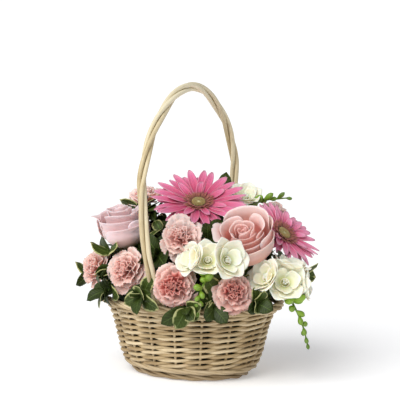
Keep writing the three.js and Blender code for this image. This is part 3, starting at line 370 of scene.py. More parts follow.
def flat_sheet(columns, rows):
    """The mesh of a flat grid with its UV map, from which petals, leaves and canes are shaped."""
    if (columns, rows) not in BLANKS:
        deselect()
        bpy.ops.mesh.primitive_grid_add(x_subdivisions=columns, y_subdivisions=rows, size=1)
        sheet = bpy.context.object
        mesh = sheet.data
        bpy.data.objects.remove(sheet)
        flat = np.empty(len(mesh.vertices) * 3)
        mesh.vertices.foreach_get("co", flat)
        flat = flat.reshape(-1, 3)
        BLANKS[columns, rows] = mesh, flat[:, 0] + 0.5, flat[:, 1] + 0.5
    return BLANKS[columns, rows]


def shaped(columns, rows, form, tone, length=1.0):
    """A copy of the flat sheet bent to a form: across and along, 0 to 1, give points in millimetres."""
    blank, across, along = flat_sheet(columns, rows)
    mesh = blank.copy()
    mesh.vertices.foreach_set("co", (form(across, along) * MM).ravel())
    if length != 1.0:
        uv = np.empty(len(mesh.loops) * 2)
        mesh.uv_layers[0].data.foreach_get("uv", uv)
        uv[1::2] *= length
        mesh.uv_layers[0].data.foreach_set("uv", uv)
    tones = mesh.attributes.new("tone", "FLOAT", "POINT")
    tones.data.foreach_set("value", np.full(len(mesh.vertices), tone))
    sheet = bpy.data.objects.new("sheet", mesh)
    bpy.context.scene.collection.objects.link(sheet)
    return sheet


def joined(name, sheets, finish):
    """The sheets as one piece, with its material."""
    deselect()
    for sheet in sheets:
        sheet.select_set(True)
    bpy.context.view_layer.objects.active = sheets[0]
    if len(sheets) > 1:
        bpy.ops.object.join()
    piece = bpy.context.object
    piece.name = name
    piece.data.name = name
    piece.data.materials.clear()
    piece.data.materials.append(finish)
    return piece


def closed(piece):
    """Seams and ends of tubes closed, with the faces pointing out."""
    pick(piece)
    bpy.ops.object.mode_set(mode="EDIT")
    bpy.ops.mesh.select_all(action="SELECT")
    bpy.ops.mesh.remove_doubles(threshold=0.000002)
    bpy.ops.mesh.normals_make_consistent(inside=False)
    bpy.ops.object.mode_set(mode="OBJECT")
    bpy.ops.object.shade_smooth()
    return piece


def thickened(piece, thickness):
    """Sheets given their thickness, half to each side."""
    pick(piece)
    solidify = piece.modifiers.new("thickness", "SOLIDIFY")
    solidify.thickness = thickness * MM
    solidify.offset = 0
    bpy.ops.object.modifier_apply(modifier=solidify.name)
    bpy.ops.object.shade_smooth()
    return piece


def hand_over(piece, slot, *nodes):
    """The piece goes with the basket and stands for the plain nodes that it covers."""
    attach(piece, "root")
    if nodes:
        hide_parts(*nodes)


def seated(points, at, facing):
    """Points of a head, modelled facing +Z, turned and moved to where it is."""
    turn = Vector((0, 0, 1)).rotation_difference(Vector(facing).normalized()).to_matrix()
    return points @ np.array(turn).T + np.array(at, float)


def unit(vector):
    """The vector at length 1."""
    vector = np.asarray(vector, float)
    return vector / np.linalg.norm(vector)


def smooth(low, high, value):
    """0 below low, 1 above high and an even turn between them."""
    share = np.clip((value - low) / (high - low), 0, 1)
    return share * share * (3 - 2 * share)


def ring_angle(across, sides):
    """The angle round a ring of faces, so that its first and last points meet."""
    return np.rint(across * sides) / sides * 2 * np.pi


def round_points(radius, angle, z):
    """Points at a radius and an angle round the z axis."""
    return np.stack([radius * np.cos(angle), radius * np.sin(angle), z], axis=1)


def turned_points(reach, aside, turn, z):
    """Points at a reach from the z axis and a way to its side, turned round the axis."""
    return np.stack([reach * np.cos(turn) - aside * np.sin(turn),
                     reach * np.sin(turn) + aside * np.cos(turn), z], axis=1)


def cane(path, radii, sides, tone, loop=False):
    """A round rod along a line of points, in millimetres, with a radius at each point."""
    path = np.asarray(path, float)
    radii = np.asarray(radii, float) * np.ones(len(path))
    if loop:
        path = np.vstack([path, path[:1]])
        radii = np.append(radii, radii[0])
        ahead = np.vstack([path[1:], path[1:2]])
        behind = np.vstack([path[-2:-1], path[:-1]])
    else:
        path = np.vstack([path[:1], path, path[-1:]])
        radii = np.concatenate([[0], radii, [0]])
        ahead = np.vstack([path[1:], path[-1:]])
        behind = np.vstack([path[:1], path[:-1]])
        ahead[0], behind[0] = path[2], path[1]
        ahead[-1], behind[-1] = path[-2], path[-3]
    run = ahead - behind
    run /= np.linalg.norm(run, axis=1)[:, None]
    side = np.zeros_like(run)
    last = np.array((0.0, 0.0, 1.0)) if abs(run[0][2]) < 0.9 else np.array((1.0, 0.0, 0.0))
    for index, along in enumerate(run):
        last = unit(last - along * last.dot(along))
        side[index] = last
    if loop:
        side[-1] = side[0]
    other = np.cross(run, side)
    steps = len(path) - 1
    length = np.linalg.norm(np.diff(path, axis=0), axis=1).sum()

    def form(across, along):
        index = np.rint(along * steps).astype(int)
        angle = ring_angle(across, sides)
        radius = radii[index][:, None]
        return (path[index] + side[index] * np.cos(angle)[:, None] * radius
                + other[index] * np.sin(angle)[:, None] * radius)

    return shaped(sides, steps, form, tone, length / UV_LENGTH)


def smooth_line(points, share):
    """A point on the smooth line through the points, at a share of its stretches."""
    points = np.asarray(points, float)
    count = len(points)
    place = share * (count - 1)
    index = min(int(place), count - 2)
    weight = place - index
    p1, p2 = points[index], points[index + 1]
    p0 = points[index - 1] if index > 0 else 2 * p1 - p2
    p3 = points[index + 2] if index + 2 < count else 2 * p2 - p1
    d0, d1, d2 = (max(np.linalg.norm(b - a) ** 0.5, 1e-4) for a, b in ((p0, p1), (p1, p2), (p2, p3)))
    t1 = ((p1 - p0) / d0 - (p2 - p0) / (d0 + d1) + (p2 - p1) / d1) * d1
    t2 = ((p2 - p1) / d1 - (p3 - p1) / (d1 + d2) + (p3 - p2) / d2) * d1
    square, cube = weight * weight, weight ** 3
    return (p1 + t1 * weight + (-3 * p1 + 3 * p2 - 2 * t1 - t2) * square
            + (2 * p1 - 2 * p2 + t1 + t2) * cube)


# Shader maths


class Value:
    """A shader socket that sums, products and powers are written with."""

    def __init__(self, board, socket):
        self.board = board
        self.socket = socket

    def maths(self, operation, first, second=0.0):
        """The answer of a Math node."""
        return self.board.add("ShaderNodeMath", {"operation": operation}, {0: first, 1: second})

    def __add__(self, other):
        return self.maths("ADD", self, other)

    __radd__ = __add__

    def __sub__(self, other):
        return self.maths("SUBTRACT", self, other)

    def __rsub__(self, other):
        return self.maths("SUBTRACT", other, self)

    def __mul__(self, other):
        return self.maths("MULTIPLY", self, other)

    __rmul__ = __mul__

    def __pow__(self, other):
        return self.maths("POWER", self, other)

    def __abs__(self):
        return self.maths("ABSOLUTE", self)

    def above(self, edge):
        """1 where the value is above the edge, and 0 elsewhere."""
        return self.maths("GREATER_THAN", self, edge)

    def sine(self):
        """The sine of the value, in radians."""
        return self.maths("SINE", self)


class Finish:
    """The node board of one material."""

    def __init__(self, name):
        self.material = bpy.data.materials.new(name)
        self.material.use_nodes = True
        self.tree = self.material.node_tree
        self.tree.nodes.clear()

    def add(self, kind, settings=None, inputs=None, output=0):
        """Adds a node with its settings and what its sockets take, and gives one of its outputs."""
        node = self.tree.nodes.new(kind)
        for key, value in (settings or {}).items():
            if key == "stops":
                self.set_stops(node.color_ramp, value)
            else:
                setattr(node, key, value)
        for key, value in (inputs or {}).items():
            if isinstance(value, Value):
                self.tree.links.new(value.socket, node.inputs[key])
            else:
                node.inputs[key].default_value = value
        return Value(self, node.outputs[output]) if len(node.outputs) else None

    def set_stops(self, ramp, stops):
        """Places a ramp's colours."""
        while len(ramp.elements) < len(stops):
            ramp.elements.new(0.5)
        for element, (position, colour) in zip(ramp.elements, stops):
            element.position = position
            element.color = colour

    def mix(self, first, second, factor):
        """One colour over another by a factor."""
        return self.add("ShaderNodeMix", {"data_type": "RGBA"}, {0: factor, 6: first, 7: second}, 2)

    def ramp(self, value, stops):
        """The colour at a value between placed colours."""
        return self.add("ShaderNodeValToRGB", {"stops": stops}, {0: value})

    def parts(self, vector):
        """The three numbers of a vector."""
        first = self.add("ShaderNodeSeparateXYZ", None, {0: vector})
        return [Value(self, output) for output in first.socket.node.outputs]

    def sheet_place(self):
        """Across and along a sheet, or round and along a cane, and the number that each has for itself."""
        across, along, _ = self.parts(self.add("ShaderNodeUVMap", {"uv_map": "UVMap"}))
        return across, along, self.add("ShaderNodeAttribute", {"attribute_name": "tone"}, None, 2)

    def position(self):
        """Place on the object, in metres."""
        return self.add("ShaderNodeTexCoord", None, None, 3)

    def rise(self, start, steepness):
        """0 up to a height in metres, then up to 1 at a steepness."""
        height = self.parts(self.position())[2]
        return self.smaller(self.larger((height - start) * steepness, 0.0), 1.0)

    def noise(self, place, scale, detail):
        """Soft irregular patches, 0 to 1, over a place given as a vector or as three values."""
        if isinstance(place, tuple):
            place = self.add("ShaderNodeCombineXYZ", None, dict(enumerate(place)))
        return self.add("ShaderNodeTexNoise", None,
                        {"Vector": place, "Scale": scale, "Detail": detail, "Roughness": 0.55})

    def larger(self, first, second):
        """The larger of two values."""
        return self.add("ShaderNodeMath", {"operation": "MAXIMUM"}, {0: first, 1: second})

    def smaller(self, first, second):
        """The smaller of two values."""
        return self.add("ShaderNodeMath", {"operation": "MINIMUM"}, {0: first, 1: second})

    def bump(self, height, strength, distance):
        """A relief that light sees, its distance in millimetres."""
        return self.add("ShaderNodeBump", None,
                        {"Height": height, "Strength": strength, "Distance": distance * MM})

    def surface(self, colour, roughness, normal=None, **constants):
        """The shader, its output and the finished material."""
        inputs = {"Base Color": colour, "Roughness": roughness}
        if normal is not None:
            inputs["Normal"] = normal
        for name, value in constants.items():
            inputs[name.replace("_", " ").title().replace("Ior", "IOR")] = value
        shader = self.add("ShaderNodeBsdfPrincipled", {"subsurface_method": "RANDOM_WALK"}, inputs)
        self.add("ShaderNodeOutputMaterial", None, {0: shader})
        return self.material


def cane_finish(name, dark, middle, light):
    """Peeled willow: fine streaks along each rod, paler and browner rods, a few amber patches, painted shade
    that browns the canes towards the foot, and a painted highlight that pales the top of the handle.
    """
    finish = Finish(name)
    around, along, tone = finish.sheet_place()
    streaks = finish.noise((around * 7, along * 0.5, tone * 40), 1.6, 5.0)
    patches = finish.noise((around * 0.6, along * 0.16, tone * 17 + 5), 1.3, 2.0)
    colour = finish.ramp(streaks * 0.55 + patches * 0.3 + tone * 0.25 - 0.04,
                         [(0.22, dark), (0.48, middle), (0.75, light)])
    colour = finish.mix(colour, srgb(190, 142, 84), (patches - 0.62) * 1.3 * (tone + 0.25))
    colour = finish.mix(colour, dark, (streaks - 0.54) * 2.6)
    # Painted shade: the canes darken to brown towards the foot, in patches, for the shade low on the basket
    low = 1 - finish.rise(0.0, 40)
    colour = finish.mix(colour, srgb(112, 84, 52), low * 0.72 * (patches + 0.35))
    # Painted highlight: the canes pale towards the top of the handle, which faces the light
    high = finish.rise(0.27, 16)
    colour = finish.mix(colour, light, high * 0.6)
    normal = finish.bump(streaks, 0.35, 0.5)
    return finish.surface(colour, 0.42 + streaks * 0.2, normal)


def petal_finish(name, stops, edge, edge_and_highlight_share, vein, spots, sheen=0.15, heart=None):
    """A petal: colours from root to lip, a paler margin that is partly its own paler edge and partly a
    painted highlight along the lip, fine veins that run along it.
    """
    finish = Finish(name)
    across, along, tone = finish.sheet_place()
    colour = finish.ramp(along, stops)
    if heart:
        colour = finish.mix(colour, heart, tone * (1 - along * 0.5) * 0.85)
    offset = abs(across * 2 - 1)
    # Paler margin: partly the petal's own paler edge, partly a painted highlight along the lip
    margin = finish.larger(offset ** 6, along ** 12)
    colour = finish.mix(colour, edge, margin * edge_and_highlight_share)
    veins = finish.noise((across * 26, along * 1.6, tone * 31), 1.0, 2.0)
    blush = finish.noise((across * 2, along * 2, tone * 23), 1.2, 2.0)
    colour = finish.mix(colour, vein, (veins - 0.5) * 0.7 + (blush - 0.5) * spots)
    normal = finish.bump(veins + blush, 0.25, 0.4)
    return finish.surface(colour, 0.55, normal, subsurface_weight=0.5, subsurface_scale=0.003,
                          subsurface_radius=(1.0, 0.6, 0.5), sheen_weight=sheen)


def gerbera_finish(name, middle, lips):
    """Long petals with painted shade in their creases and paler lips, and the short brownish ones round the
    eye.
    """
    finish = Finish(name)
    across, along, tone = finish.sheet_place()
    offset = abs(across * 2 - 1)
    colour = finish.ramp(along, [(0.0, srgb(128, 40, 56)), (0.2, srgb(186, 54, 100)), (0.5, middle),
                                 (0.82, lips), (1.0, srgb(236, 164, 190))])
    creases_and_shade = (across * CREASE_TURN).sine() ** 2
    strands = finish.noise((across * 14, along * 1.5, tone * 31), 1.0, 3.0)
    # Painted shade: deeper pink along the six creases, over the petal's own streaks
    colour = finish.mix(colour, srgb(172, 44, 98), creases_and_shade ** 4 * 0.35 + (strands - 0.5) * 0.9)
    colour = finish.mix(colour, srgb(238, 186, 202), offset ** 5 * 0.55 + (strands - 0.62) * 0.8)
    ring = finish.ramp(along, [(0.0, srgb(78, 38, 26)), (0.5, srgb(140, 76, 58)), (0.85, srgb(178, 104, 88)),
                               (1.0, srgb(208, 116, 130))])
    colour = finish.mix(colour, ring, (tone - 0.4).above(0.0))
    normal = finish.bump(creases_and_shade * 0.7 + strands, 0.5, 0.5)
    return finish.surface(colour, 0.55, normal, subsurface_weight=0.1, subsurface_scale=0.0012,
                          sheen_weight=0.1)


def carnation_finish():
    """Carnation petals: pale at the frilled edge, coral deep between them, with painted shade on the blooms
    low in the basket and painted light on those high up.
    """
    finish = Finish("carnation_petal")
    across, along, tone = finish.sheet_place()
    outer = finish.ramp(along, [(0.2, srgb(222, 160, 142)), (0.6, srgb(230, 184, 172)),
                                (0.95, srgb(242, 208, 198))])
    inner = finish.ramp(along, [(0.3, srgb(158, 30, 34)), (0.75, srgb(202, 78, 70)),
                                (1.0, srgb(232, 154, 142))])
    colour = finish.mix(outer, inner, tone)
    veins = finish.noise((across * 20, along * 2, tone * 31), 1.0, 2.0)
    blush = finish.noise((across * 3, along * 3, tone * 43), 1.4, 3.0)
    colour = finish.mix(colour, srgb(226, 130, 122), (veins - 0.5) * 0.8 + (blush - 0.5) * 0.4)
    # Painted shade: petals darken towards the bottom of the arrangement, for the low blooms that sit in shade
    low = 1 - finish.rise(0.085, 20)
    colour = finish.mix(colour, srgb(148, 104, 92), low * 0.34)
    # Painted light: petals pale towards the top of the arrangement, for the high blooms that catch the light
    colour = finish.mix(colour, srgb(250, 224, 220), finish.rise(0.165, 60) * 0.4)
    return finish.surface(colour, 0.6, finish.bump(veins, 0.4, 0.4), subsurface_weight=0.4,
                          subsurface_scale=0.002, subsurface_radius=(1.0, 0.5, 0.4), sheen_weight=0.15)


def leaf_finish(name, deep, fresh, cream):
    """A leaf: dark green with a paler rib and side veins, on some with an uneven cream margin, and painted
    shade that darkens the leaves low in the basket.
    """
    finish = Finish(name)
    across, along, tone = finish.sheet_place()
    offset = abs(across * 2 - 1)
    patches = finish.noise((across * 3, along * 3, tone * 37), 1.1, 4.0)
    colour = finish.mix(deep, fresh, patches * 0.9 + tone * 0.6 - 0.3)
    veins = ((along - offset * 0.22) * 46).sine() * 0.5 + 0.5
    rib = 1 - finish.smaller(offset * 14, 1.0)
    colour = finish.mix(colour, srgb(122, 150, 76), rib * 0.5 + veins ** 8 * 0.15)
    margin = finish.larger(offset, along ** 3)
    variegated = finish.smaller((margin + patches * 0.85 - 1.17) * 9, 1.0)
    colour = finish.mix(colour, cream, variegated * (tone - 0.45).above(0.0))
    # Painted shade: leaves darken towards the bottom, for the shade over the rim and under the blooms
    low = 1 - finish.rise(0.08, 25)
    colour = finish.mix(colour, deep, low * 0.4)
    normal = finish.bump(veins * 0.6 + rib + patches * 0.4, 0.5, 0.35)
    return finish.surface(colour, 0.4 + patches * 0.14, normal, specular_ior_level=0.22)


def stem_finish(name, deep, fresh):
    """Fresh stems and buds: green with paler streaks along them."""
    finish = Finish(name)
    around, along, tone = finish.sheet_place()
    streaks = finish.noise((around * 5, along * 0.6, tone * 29), 1.5, 3.0)
    colour = finish.mix(deep, fresh, streaks * 0.7 + tone * 0.5)
    return finish.surface(colour, 0.4, finish.bump(streaks, 0.25, 0.3), subsurface_weight=0.05,
                          subsurface_scale=0.001)


def foam_finish():
    """Wet floral foam: dark green with fine open cells."""
    finish = Finish("wet_foam")
    place = finish.position()
    cells = finish.noise(place, 900.0, 2.0)
    patches = finish.noise(place, 40.0, 3.0)
    colour = finish.mix(srgb(34, 52, 30), srgb(66, 92, 52), cells * 0.6 + patches * 0.4 - 0.1)
    return finish.surface(colour, 0.9, finish.bump(cells, 0.6, 0.6))


def liner_finish():
    """The plastic tub: dark, satin, with faint drawn streaks."""
    finish = Finish("liner_plastic")
    place = finish.position()
    haze = finish.noise(place, 60.0, 3.0)
    colour = finish.mix(srgb(30, 34, 26), srgb(50, 54, 42), haze)
    return finish.surface(colour, 0.45 + haze * 0.2, finish.bump(haze, 0.15, 0.4))


def base_finish():
    """The base board seen from below: woven rounds of thin cane over flat bars."""
    finish = Finish("woven_base")
    place = finish.position()
    x, y, _ = finish.parts(place)
    y = y * BASE_STRETCH
    radius = (x ** 2 + y ** 2) ** 0.5
    angle = finish.add("ShaderNodeMath", {"operation": "ARCTAN2"}, {0: y, 1: x})
    rounds = (radius * ROUND_TURN).sine()
    weave = (angle * 12).sine() * rounds
    streaks = finish.noise(place, 220.0, 4.0)
    colour = finish.ramp(weave * 0.25 + streaks * 0.5 + 0.2,
                         [(0.1, srgb(96, 72, 44)), (0.45, srgb(190, 160, 116)), (0.85, srgb(224, 202, 160))])
    return finish.surface(colour, 0.55, finish.bump(weave * 0.6 + rounds * 0.4, 0.9, 0.9))


# The basket


def oval_angles(count):
    """Angles spaced evenly along the edge of the oval, and the share of the way round of each."""
    fine = (np.arange(OVAL_STEPS) + 0.5) / OVAL_STEPS * 2 * np.pi
    lengths = np.concatenate([[0], np.cumsum(np.hypot(np.sin(fine), OVAL_RATIO * np.cos(fine)))])
    edges = np.arange(OVAL_STEPS + 1) / OVAL_STEPS * 2 * np.pi
    shares = np.arange(count) / count
    return np.interp(shares * lengths[-1], lengths, edges), shares


def wall_half_lengths(z):
    """Half lengths of the wall's outer oval at a height."""
    heights, long_side, short_side = np.array(WALL_PROFILE).T
    return np.interp(z, heights, long_side), np.interp(z, heights, short_side)


def oval_line(a, b, z, angles, offset):
    """Points round an oval, moved outwards by the offset."""
    outward = np.stack([np.cos(angles) * b, np.sin(angles) * a], axis=1)
    outward /= np.linalg.norm(outward, axis=1)[:, None]
    points = np.stack([a * np.cos(angles), b * np.sin(angles), z * np.ones_like(angles)], axis=1)
    points[:, :2] += outward * np.asarray(offset)[..., None]
    return points


def waver(shares, waves, phase):
    """The unrest along a rod: even waves round the basket."""
    return np.sin(shares * 2 * np.pi * waves + phase)


def wound_rods(settings, band, strands, turns, rod, lay, flat, seed):
    """Rods wound round each other along an oval band, each at a lay from its middle line."""
    draw = random.Random(seed)
    a, b, height = band
    angles, shares = oval_angles(settings.band_steps)
    rods = []
    for strand in range(strands):
        wander = draw.uniform(0, PHASE)
        twist = shares * turns * 2 * np.pi + strand / strands * 2 * np.pi
        twist = twist + 0.3 * waver(shares, 5, wander)
        loose = lay * (1 + 0.12 * waver(shares, 7, wander * 2))
        points = oval_line(a, b, height, angles, loose * np.cos(twist) * flat)
        points[:, 2] -= loose * np.sin(twist)
        radii = rod * (1 + 0.06 * waver(shares, 11, wander * 3))
        rods.append(cane(points, radii, ROD_SIDES, draw.random(), loop=True))
    return rods


def weft_rods(settings, draw):
    """Pairs of canes that pass outside and inside the stakes by turns."""
    low, high = WALL_PROFILE[0][0], WALL_PROFILE[-1][0]
    pairs = settings.weft_pairs
    half_width, innermost = WEFT_AT_HANDLE
    angles, shares = oval_angles(settings.stakes * WEFT_STEPS)
    climb = (high - low) / pairs / 4.3
    rods = []
    for pair in range(1, pairs):
        z = low + (high - low) * (pair + 0.5) / pairs
        a, b = wall_half_lengths(z)
        for rod in range(2):
            wander = draw.uniform(0, PHASE)
            turn = (shares * settings.stakes + 0.5) * np.pi + rod * np.pi
            swing = np.sign(np.cos(turn)) * np.abs(np.cos(turn)) ** 0.6 * WEFT_SWING
            offset = STAKE_OFFSET + swing * (1 + 0.1 * waver(shares, 9, wander))
            at_handle = np.abs(oval_line(a, b, z, angles, offset)[:, 0]) < half_width
            offset = np.where(at_handle, np.maximum(offset, innermost), offset)
            points = oval_line(a, b, z, angles, offset)
            points[:, 2] += climb * np.sign(np.sin(turn)) * np.abs(np.sin(turn)) ** 2.2
            points[:, 2] += 0.2 * waver(shares, 3, wander) + 0.1 * waver(shares, 8, wander * 2)
            radii = settings.weft_radius / MM * (1 + 0.07 * waver(shares, 5, wander * 3))
            rods.append(cane(points, radii, ROD_SIDES, draw.random(), loop=True))
    return rods


def stake_rods(settings, draw):
    """The upright canes that the weft is woven on."""
    low, high = WALL_PROFILE[0][0], WALL_PROFILE[-1][0]
    rods = []
    for angle in oval_angles(settings.stakes * 2)[0][1::2]:
        line = []
        for z in np.linspace(low + 1, high + 1, 16):
            a, b = wall_half_lengths(z)
            line.extend(oval_line(a, b, z, np.array([angle]), np.array([STAKE_OFFSET])))
        rods.append(cane(line, settings.stake_radius / MM, ROD_SIDES, draw.random()))
    return rods


def basket_piece(name, rods, settings, node):
    """Rods as one piece of the basket, in the place of its plain node."""
    hand_over(closed(joined(name, rods, settings.finish_wicker())), "wicker", node)


def handle_line(u):
    """The handle's middle line, from -1 at the front foot to 1 at the back."""
    share = abs(u)
    bulge, bulge_height = HANDLE_BULGE
    foot_span, foot_height, foot_end = HANDLE_FOOT
    if share < HANDLE_ARCH:
        turn = share / HANDLE_ARCH * math.pi / 2
        span = bulge * math.sin(turn) ** (2 / HANDLE_ROUNDNESS)
        z = bulge_height + (HANDLE_TOP - bulge_height) * math.cos(turn) ** (2 / HANDLE_ROUNDNESS)
    elif share < HANDLE_STRAIGHT:
        part = (share - HANDLE_ARCH) / (HANDLE_STRAIGHT - HANDLE_ARCH)
        span = bulge - (bulge - foot_span) * part * part
        z = bulge_height - (bulge_height - foot_height) * part
    else:
        part = (share - HANDLE_STRAIGHT) / (1 - HANDLE_STRAIGHT)
        z = foot_height - (foot_height - foot_end) * part
        span = min(wall_half_lengths(z)[1] - HANDLE_INSET, foot_span)
    return np.array((0.0, math.copysign(span, u), z))


def handle_cane(index, steps):
    """Points of one of the three canes, wound over the arch and side by side at the feet."""
    points = []
    for step in range(steps + 1):
        u = -1 + 2 * step / steps
        along = unit(handle_line(min(u + 0.01, 1)) - handle_line(max(u - 0.01, -1)))
        across = np.array((1.0, 0.0, 0.0))
        normal = np.cross(along, across)
        share = (min(max(u, -HANDLE_WOUND), HANDLE_WOUND) + HANDLE_WOUND) / (2 * HANDLE_WOUND)
        turn = (0.25 + index / 3 + share * HANDLE_TURNS) * 2 * math.pi
        laid = (across * math.cos(turn) + normal * math.sin(turn)) * HANDLE_LAY
        place = (FRONT_PLACES if u < 0 else BACK_PLACES)[index]
        spread = float(smooth(HANDLE_WOUND, HANDLE_STRAIGHT, np.array(abs(u))))
        points.append(handle_line(u) + laid * (1 - spread) + across * place * HANDLE_SPACING * spread)
    return points


def liner_sheet():
    """The dark tub inside the weave: it follows the wall and gives way to the feet of the handle."""
    sides, rows = 96, 18
    floor, side_foot, edge = LINER_HEIGHTS
    heights = np.concatenate([[floor, floor], np.linspace(side_foot, edge, rows - 1)])

    def form(across, along):
        step = np.rint(along * rows).astype(int)
        angle = ring_angle(across, sides)
        points = np.zeros((len(angle), 3))
        for index, z in enumerate(heights):
            here = step == index
            a, b = wall_half_lengths(z)
            at_handle = smooth(17, 10, np.abs(a * np.cos(angle[here]))) * smooth(44, 52, z)
            gap = np.interp(z, *LINER_GAP) + LINER_DENT * at_handle
            points[here] = oval_line(a, b, z, angle[here], -gap)
        points[step == 0] = (0, 0, floor)
        return points

    return shaped(sides, rows, form, 0.0)


# Flowers, each modelled facing +Z


def gerbera_ray(draw, turn, inner, outer, half_width, start, rise, droop, ragged):
    """One long petal with a blunt notched tip and two shallow ridges."""
    sway, twist = draw.uniform(-3.0, 3.0) * ragged, draw.uniform(-0.3, 0.3) * ragged
    lift, notch = draw.uniform(-3.4, 3.4) * ragged, draw.uniform(0.4, 1.3) * ragged
    curve = droop + draw.uniform(-2.5, 3.0) * ragged
    width_here = half_width * draw.uniform(0.88, 1.1)

    def form(across, along):
        u = across * 2 - 1
        width = width_here * (0.36 + 0.64 * smooth(0, 0.5, along))
        width = width * np.clip(1 - np.clip((along - 0.5) / 0.51, 0, 1) ** 2.2, 0.02, 1) ** 0.62
        split = 0.5 + 0.5 * np.cos(u * 3 * np.pi)
        reach = inner + (outer - inner) * along - notch * smooth(0.8, 1, along) * split
        x = u * width + sway * along ** 2
        z = start + rise * (reach - inner) - curve * along ** 2.2 + lift * along ** 1.5
        channel = (u * u * 1.3 + 0.35 * np.cos(u * 2.5 * np.pi)) * half_width / 4.6
        z = z + channel * (0.3 + 0.7 * np.sin(along * np.pi)) + u * width * twist * along
        return turned_points(reach, x, turn, z)

    return form


def in_rose(point):
    """True where a point lies inside the outer petals of a rose."""
    low, high, radius = ROSE_ROOM
    for rose in ROSES:
        axis, away = unit(rose["bloom"]), point - np.array(rose["foot"], float)
        depth = away.dot(axis)
        across = np.linalg.norm(away - axis * depth)
        if low < depth < high * rose["tall"] and across < radius * rose["size"]:
            return True
    return False


def gerbera_sheets(gerbera):
    """Two whorls of long petals, a few shorter ones, and small dark ones in rings round the eye."""
    draw = random.Random(gerbera["seed"])
    radius, count = gerbera["radius"], gerbera["count"]
    # Number, offset, inner and outer reach, half width, start, rise, droop, tone and raggedness
    whorls = [
        (count, 0.0, 8.0, radius * 1.05, radius * 0.1, 1.4, 0.2, 1.0, 0.0, 1.0),
        (count, 0.5, 8.0, radius * 0.98, radius * 0.105, -0.8, 0.17, 3.0, 0.0, 1.0),
        (7, 0.2, 8.0, radius * 0.7, radius * 0.085, 2.2, 0.26, -0.5, 0.1, 0.9),
        (48, 0.25, 7.0, 19.5, 1.0, 2.4, 0.3, -0.8, 0.7, 0.4),
        (42, 0.1, 6.8, 14.5, 0.85, 3.4, 0.45, -0.6, 0.9, 0.3),
    ]
    sheets = []
    for number, offset, inner, outer, half_width, start, rise, droop, tone, ragged in whorls:
        step = 2 * math.pi / number
        is_long = outer > 20
        columns, rows = (8, 11) if is_long else (2, 3)
        for index in range(number):
            turn = (index + offset + draw.uniform(-0.18, 0.18)) * step
            length = outer * draw.uniform(0.9, 1.0)
            for _ in range(6 if is_long else 0):
                z = start + rise * (length - inner) - droop
                tip = np.array([(length * math.cos(turn), length * math.sin(turn), z)])
                length -= 2.0 if in_rose(seated(tip, gerbera["at"], gerbera["facing"])[0]) else 0.0
            ray = gerbera_ray(draw, turn, inner, length, half_width, start, rise, droop, ragged)

            def form(across, along, ray=ray):
                return seated(ray(across, along), gerbera["at"], gerbera["facing"])

            sheets.append(shaped(columns, rows, form, tone + draw.uniform(-0.1, 0.1)))
    return sheets


def gerbera_eye_sheets(gerbera):
    """The eye: a low dome of tight florets in spirals, with a ring of taller ones."""
    sheets = []
    count = 190
    for index in range(count):
        share = math.sqrt((index + 0.5) / count)
        turn = index * SPIRAL_TURN
        radius = 7.3 * share
        height = 4.4 + 1.3 * math.sin(share * math.pi * 0.8)
        size = 0.34 + 0.3 * share
        lean = unit((math.cos(turn) * share * 0.5, math.sin(turn) * share * 0.5, 1))
        foot = np.array((radius * math.cos(turn), radius * math.sin(turn), height - 1.6))
        line = np.array([foot, foot + lean * 1.3, foot + lean * 2.0])
        line = seated(line, gerbera["at"], gerbera["facing"])
        sheets.append(cane(line, [size, size, size * 0.5], sides=4, tone=share))
    sides = 24
    bed_radii, bed_heights = (0.5, 4.0, 7.0, 7.6, 6.0, 0.5), (3.0, 3.2, 3.6, 4.2, 4.6, 4.9)
    knots = np.linspace(0, 1, len(bed_radii))

    def form(across, along):
        radius = np.interp(along, knots, bed_radii)
        radius = np.where((along < 1e-6) | (along > 1 - 1e-6), 0, radius)
        points = round_points(radius, ring_angle(across, sides), np.interp(along, knots, bed_heights))
        return seated(points, gerbera["at"], gerbera["facing"])

    sheets.append(shaped(sides, 10, form, 0.4))
    return sheets


def rose_petal(petal, tall, opened, dome, wave):
    """One petal from the foot of the bloom, wrapped round its middle, with a rounded and rolled lip."""
    turn, lip, top, spread, roll, bulge, lap, _ = petal
    turn, roll = math.radians(turn), max(roll * opened, 0.05)
    top *= tall * (1 - dome * (lip / 30) ** 1.5)
    top += max(0, -math.sin(turn)) * 14 * (1 - opened)
    bend = 0.7

    def form(across, along):
        u = across * 2 - 1
        reach = along * (1 - 0.24 * np.abs(u) ** 2.6)
        angle = turn + u * spread * (0.45 + 0.55 * np.sin(np.clip(reach * 1.3, 0, 1) * np.pi / 2))
        upright = np.minimum(reach, bend) / bend
        swell = bulge * np.sin(upright * np.pi) * 2
        radius = lip * (0.13 + 0.87 * np.sin(upright * np.pi / 2) ** 1.05 + swell)
        radius = radius * (1 + lap * u * upright)
        rolled = np.clip((reach - bend) / (1 - bend), 0, 1) * roll * (0.8 + 0.45 * u * u)
        coil = (1 - bend) * top / roll * (1 + 0.25 * smooth(0.5, 1, np.abs(u)))
        radius = radius + coil * (1 - np.cos(rolled)) + 0.045 * lip * np.sin(u * 3.4 + wave) * reach ** 4
        height = top * np.minimum(reach, bend) + coil * np.sin(rolled)
        height = height + 0.03 * top * np.sin(u * 2.6 + wave * 2) * reach ** 4
        return round_points(radius, angle, height)

    return form


def rose_frame(rose):
    """Axes of a bloom: to its right, away from the side that it shows, and the way it opens."""
    axis = unit(rose["bloom"])
    away = -np.array(rose["front"], float)
    away = unit(away - axis * away.dot(axis))
    return np.array([np.cross(away, axis), away, axis])


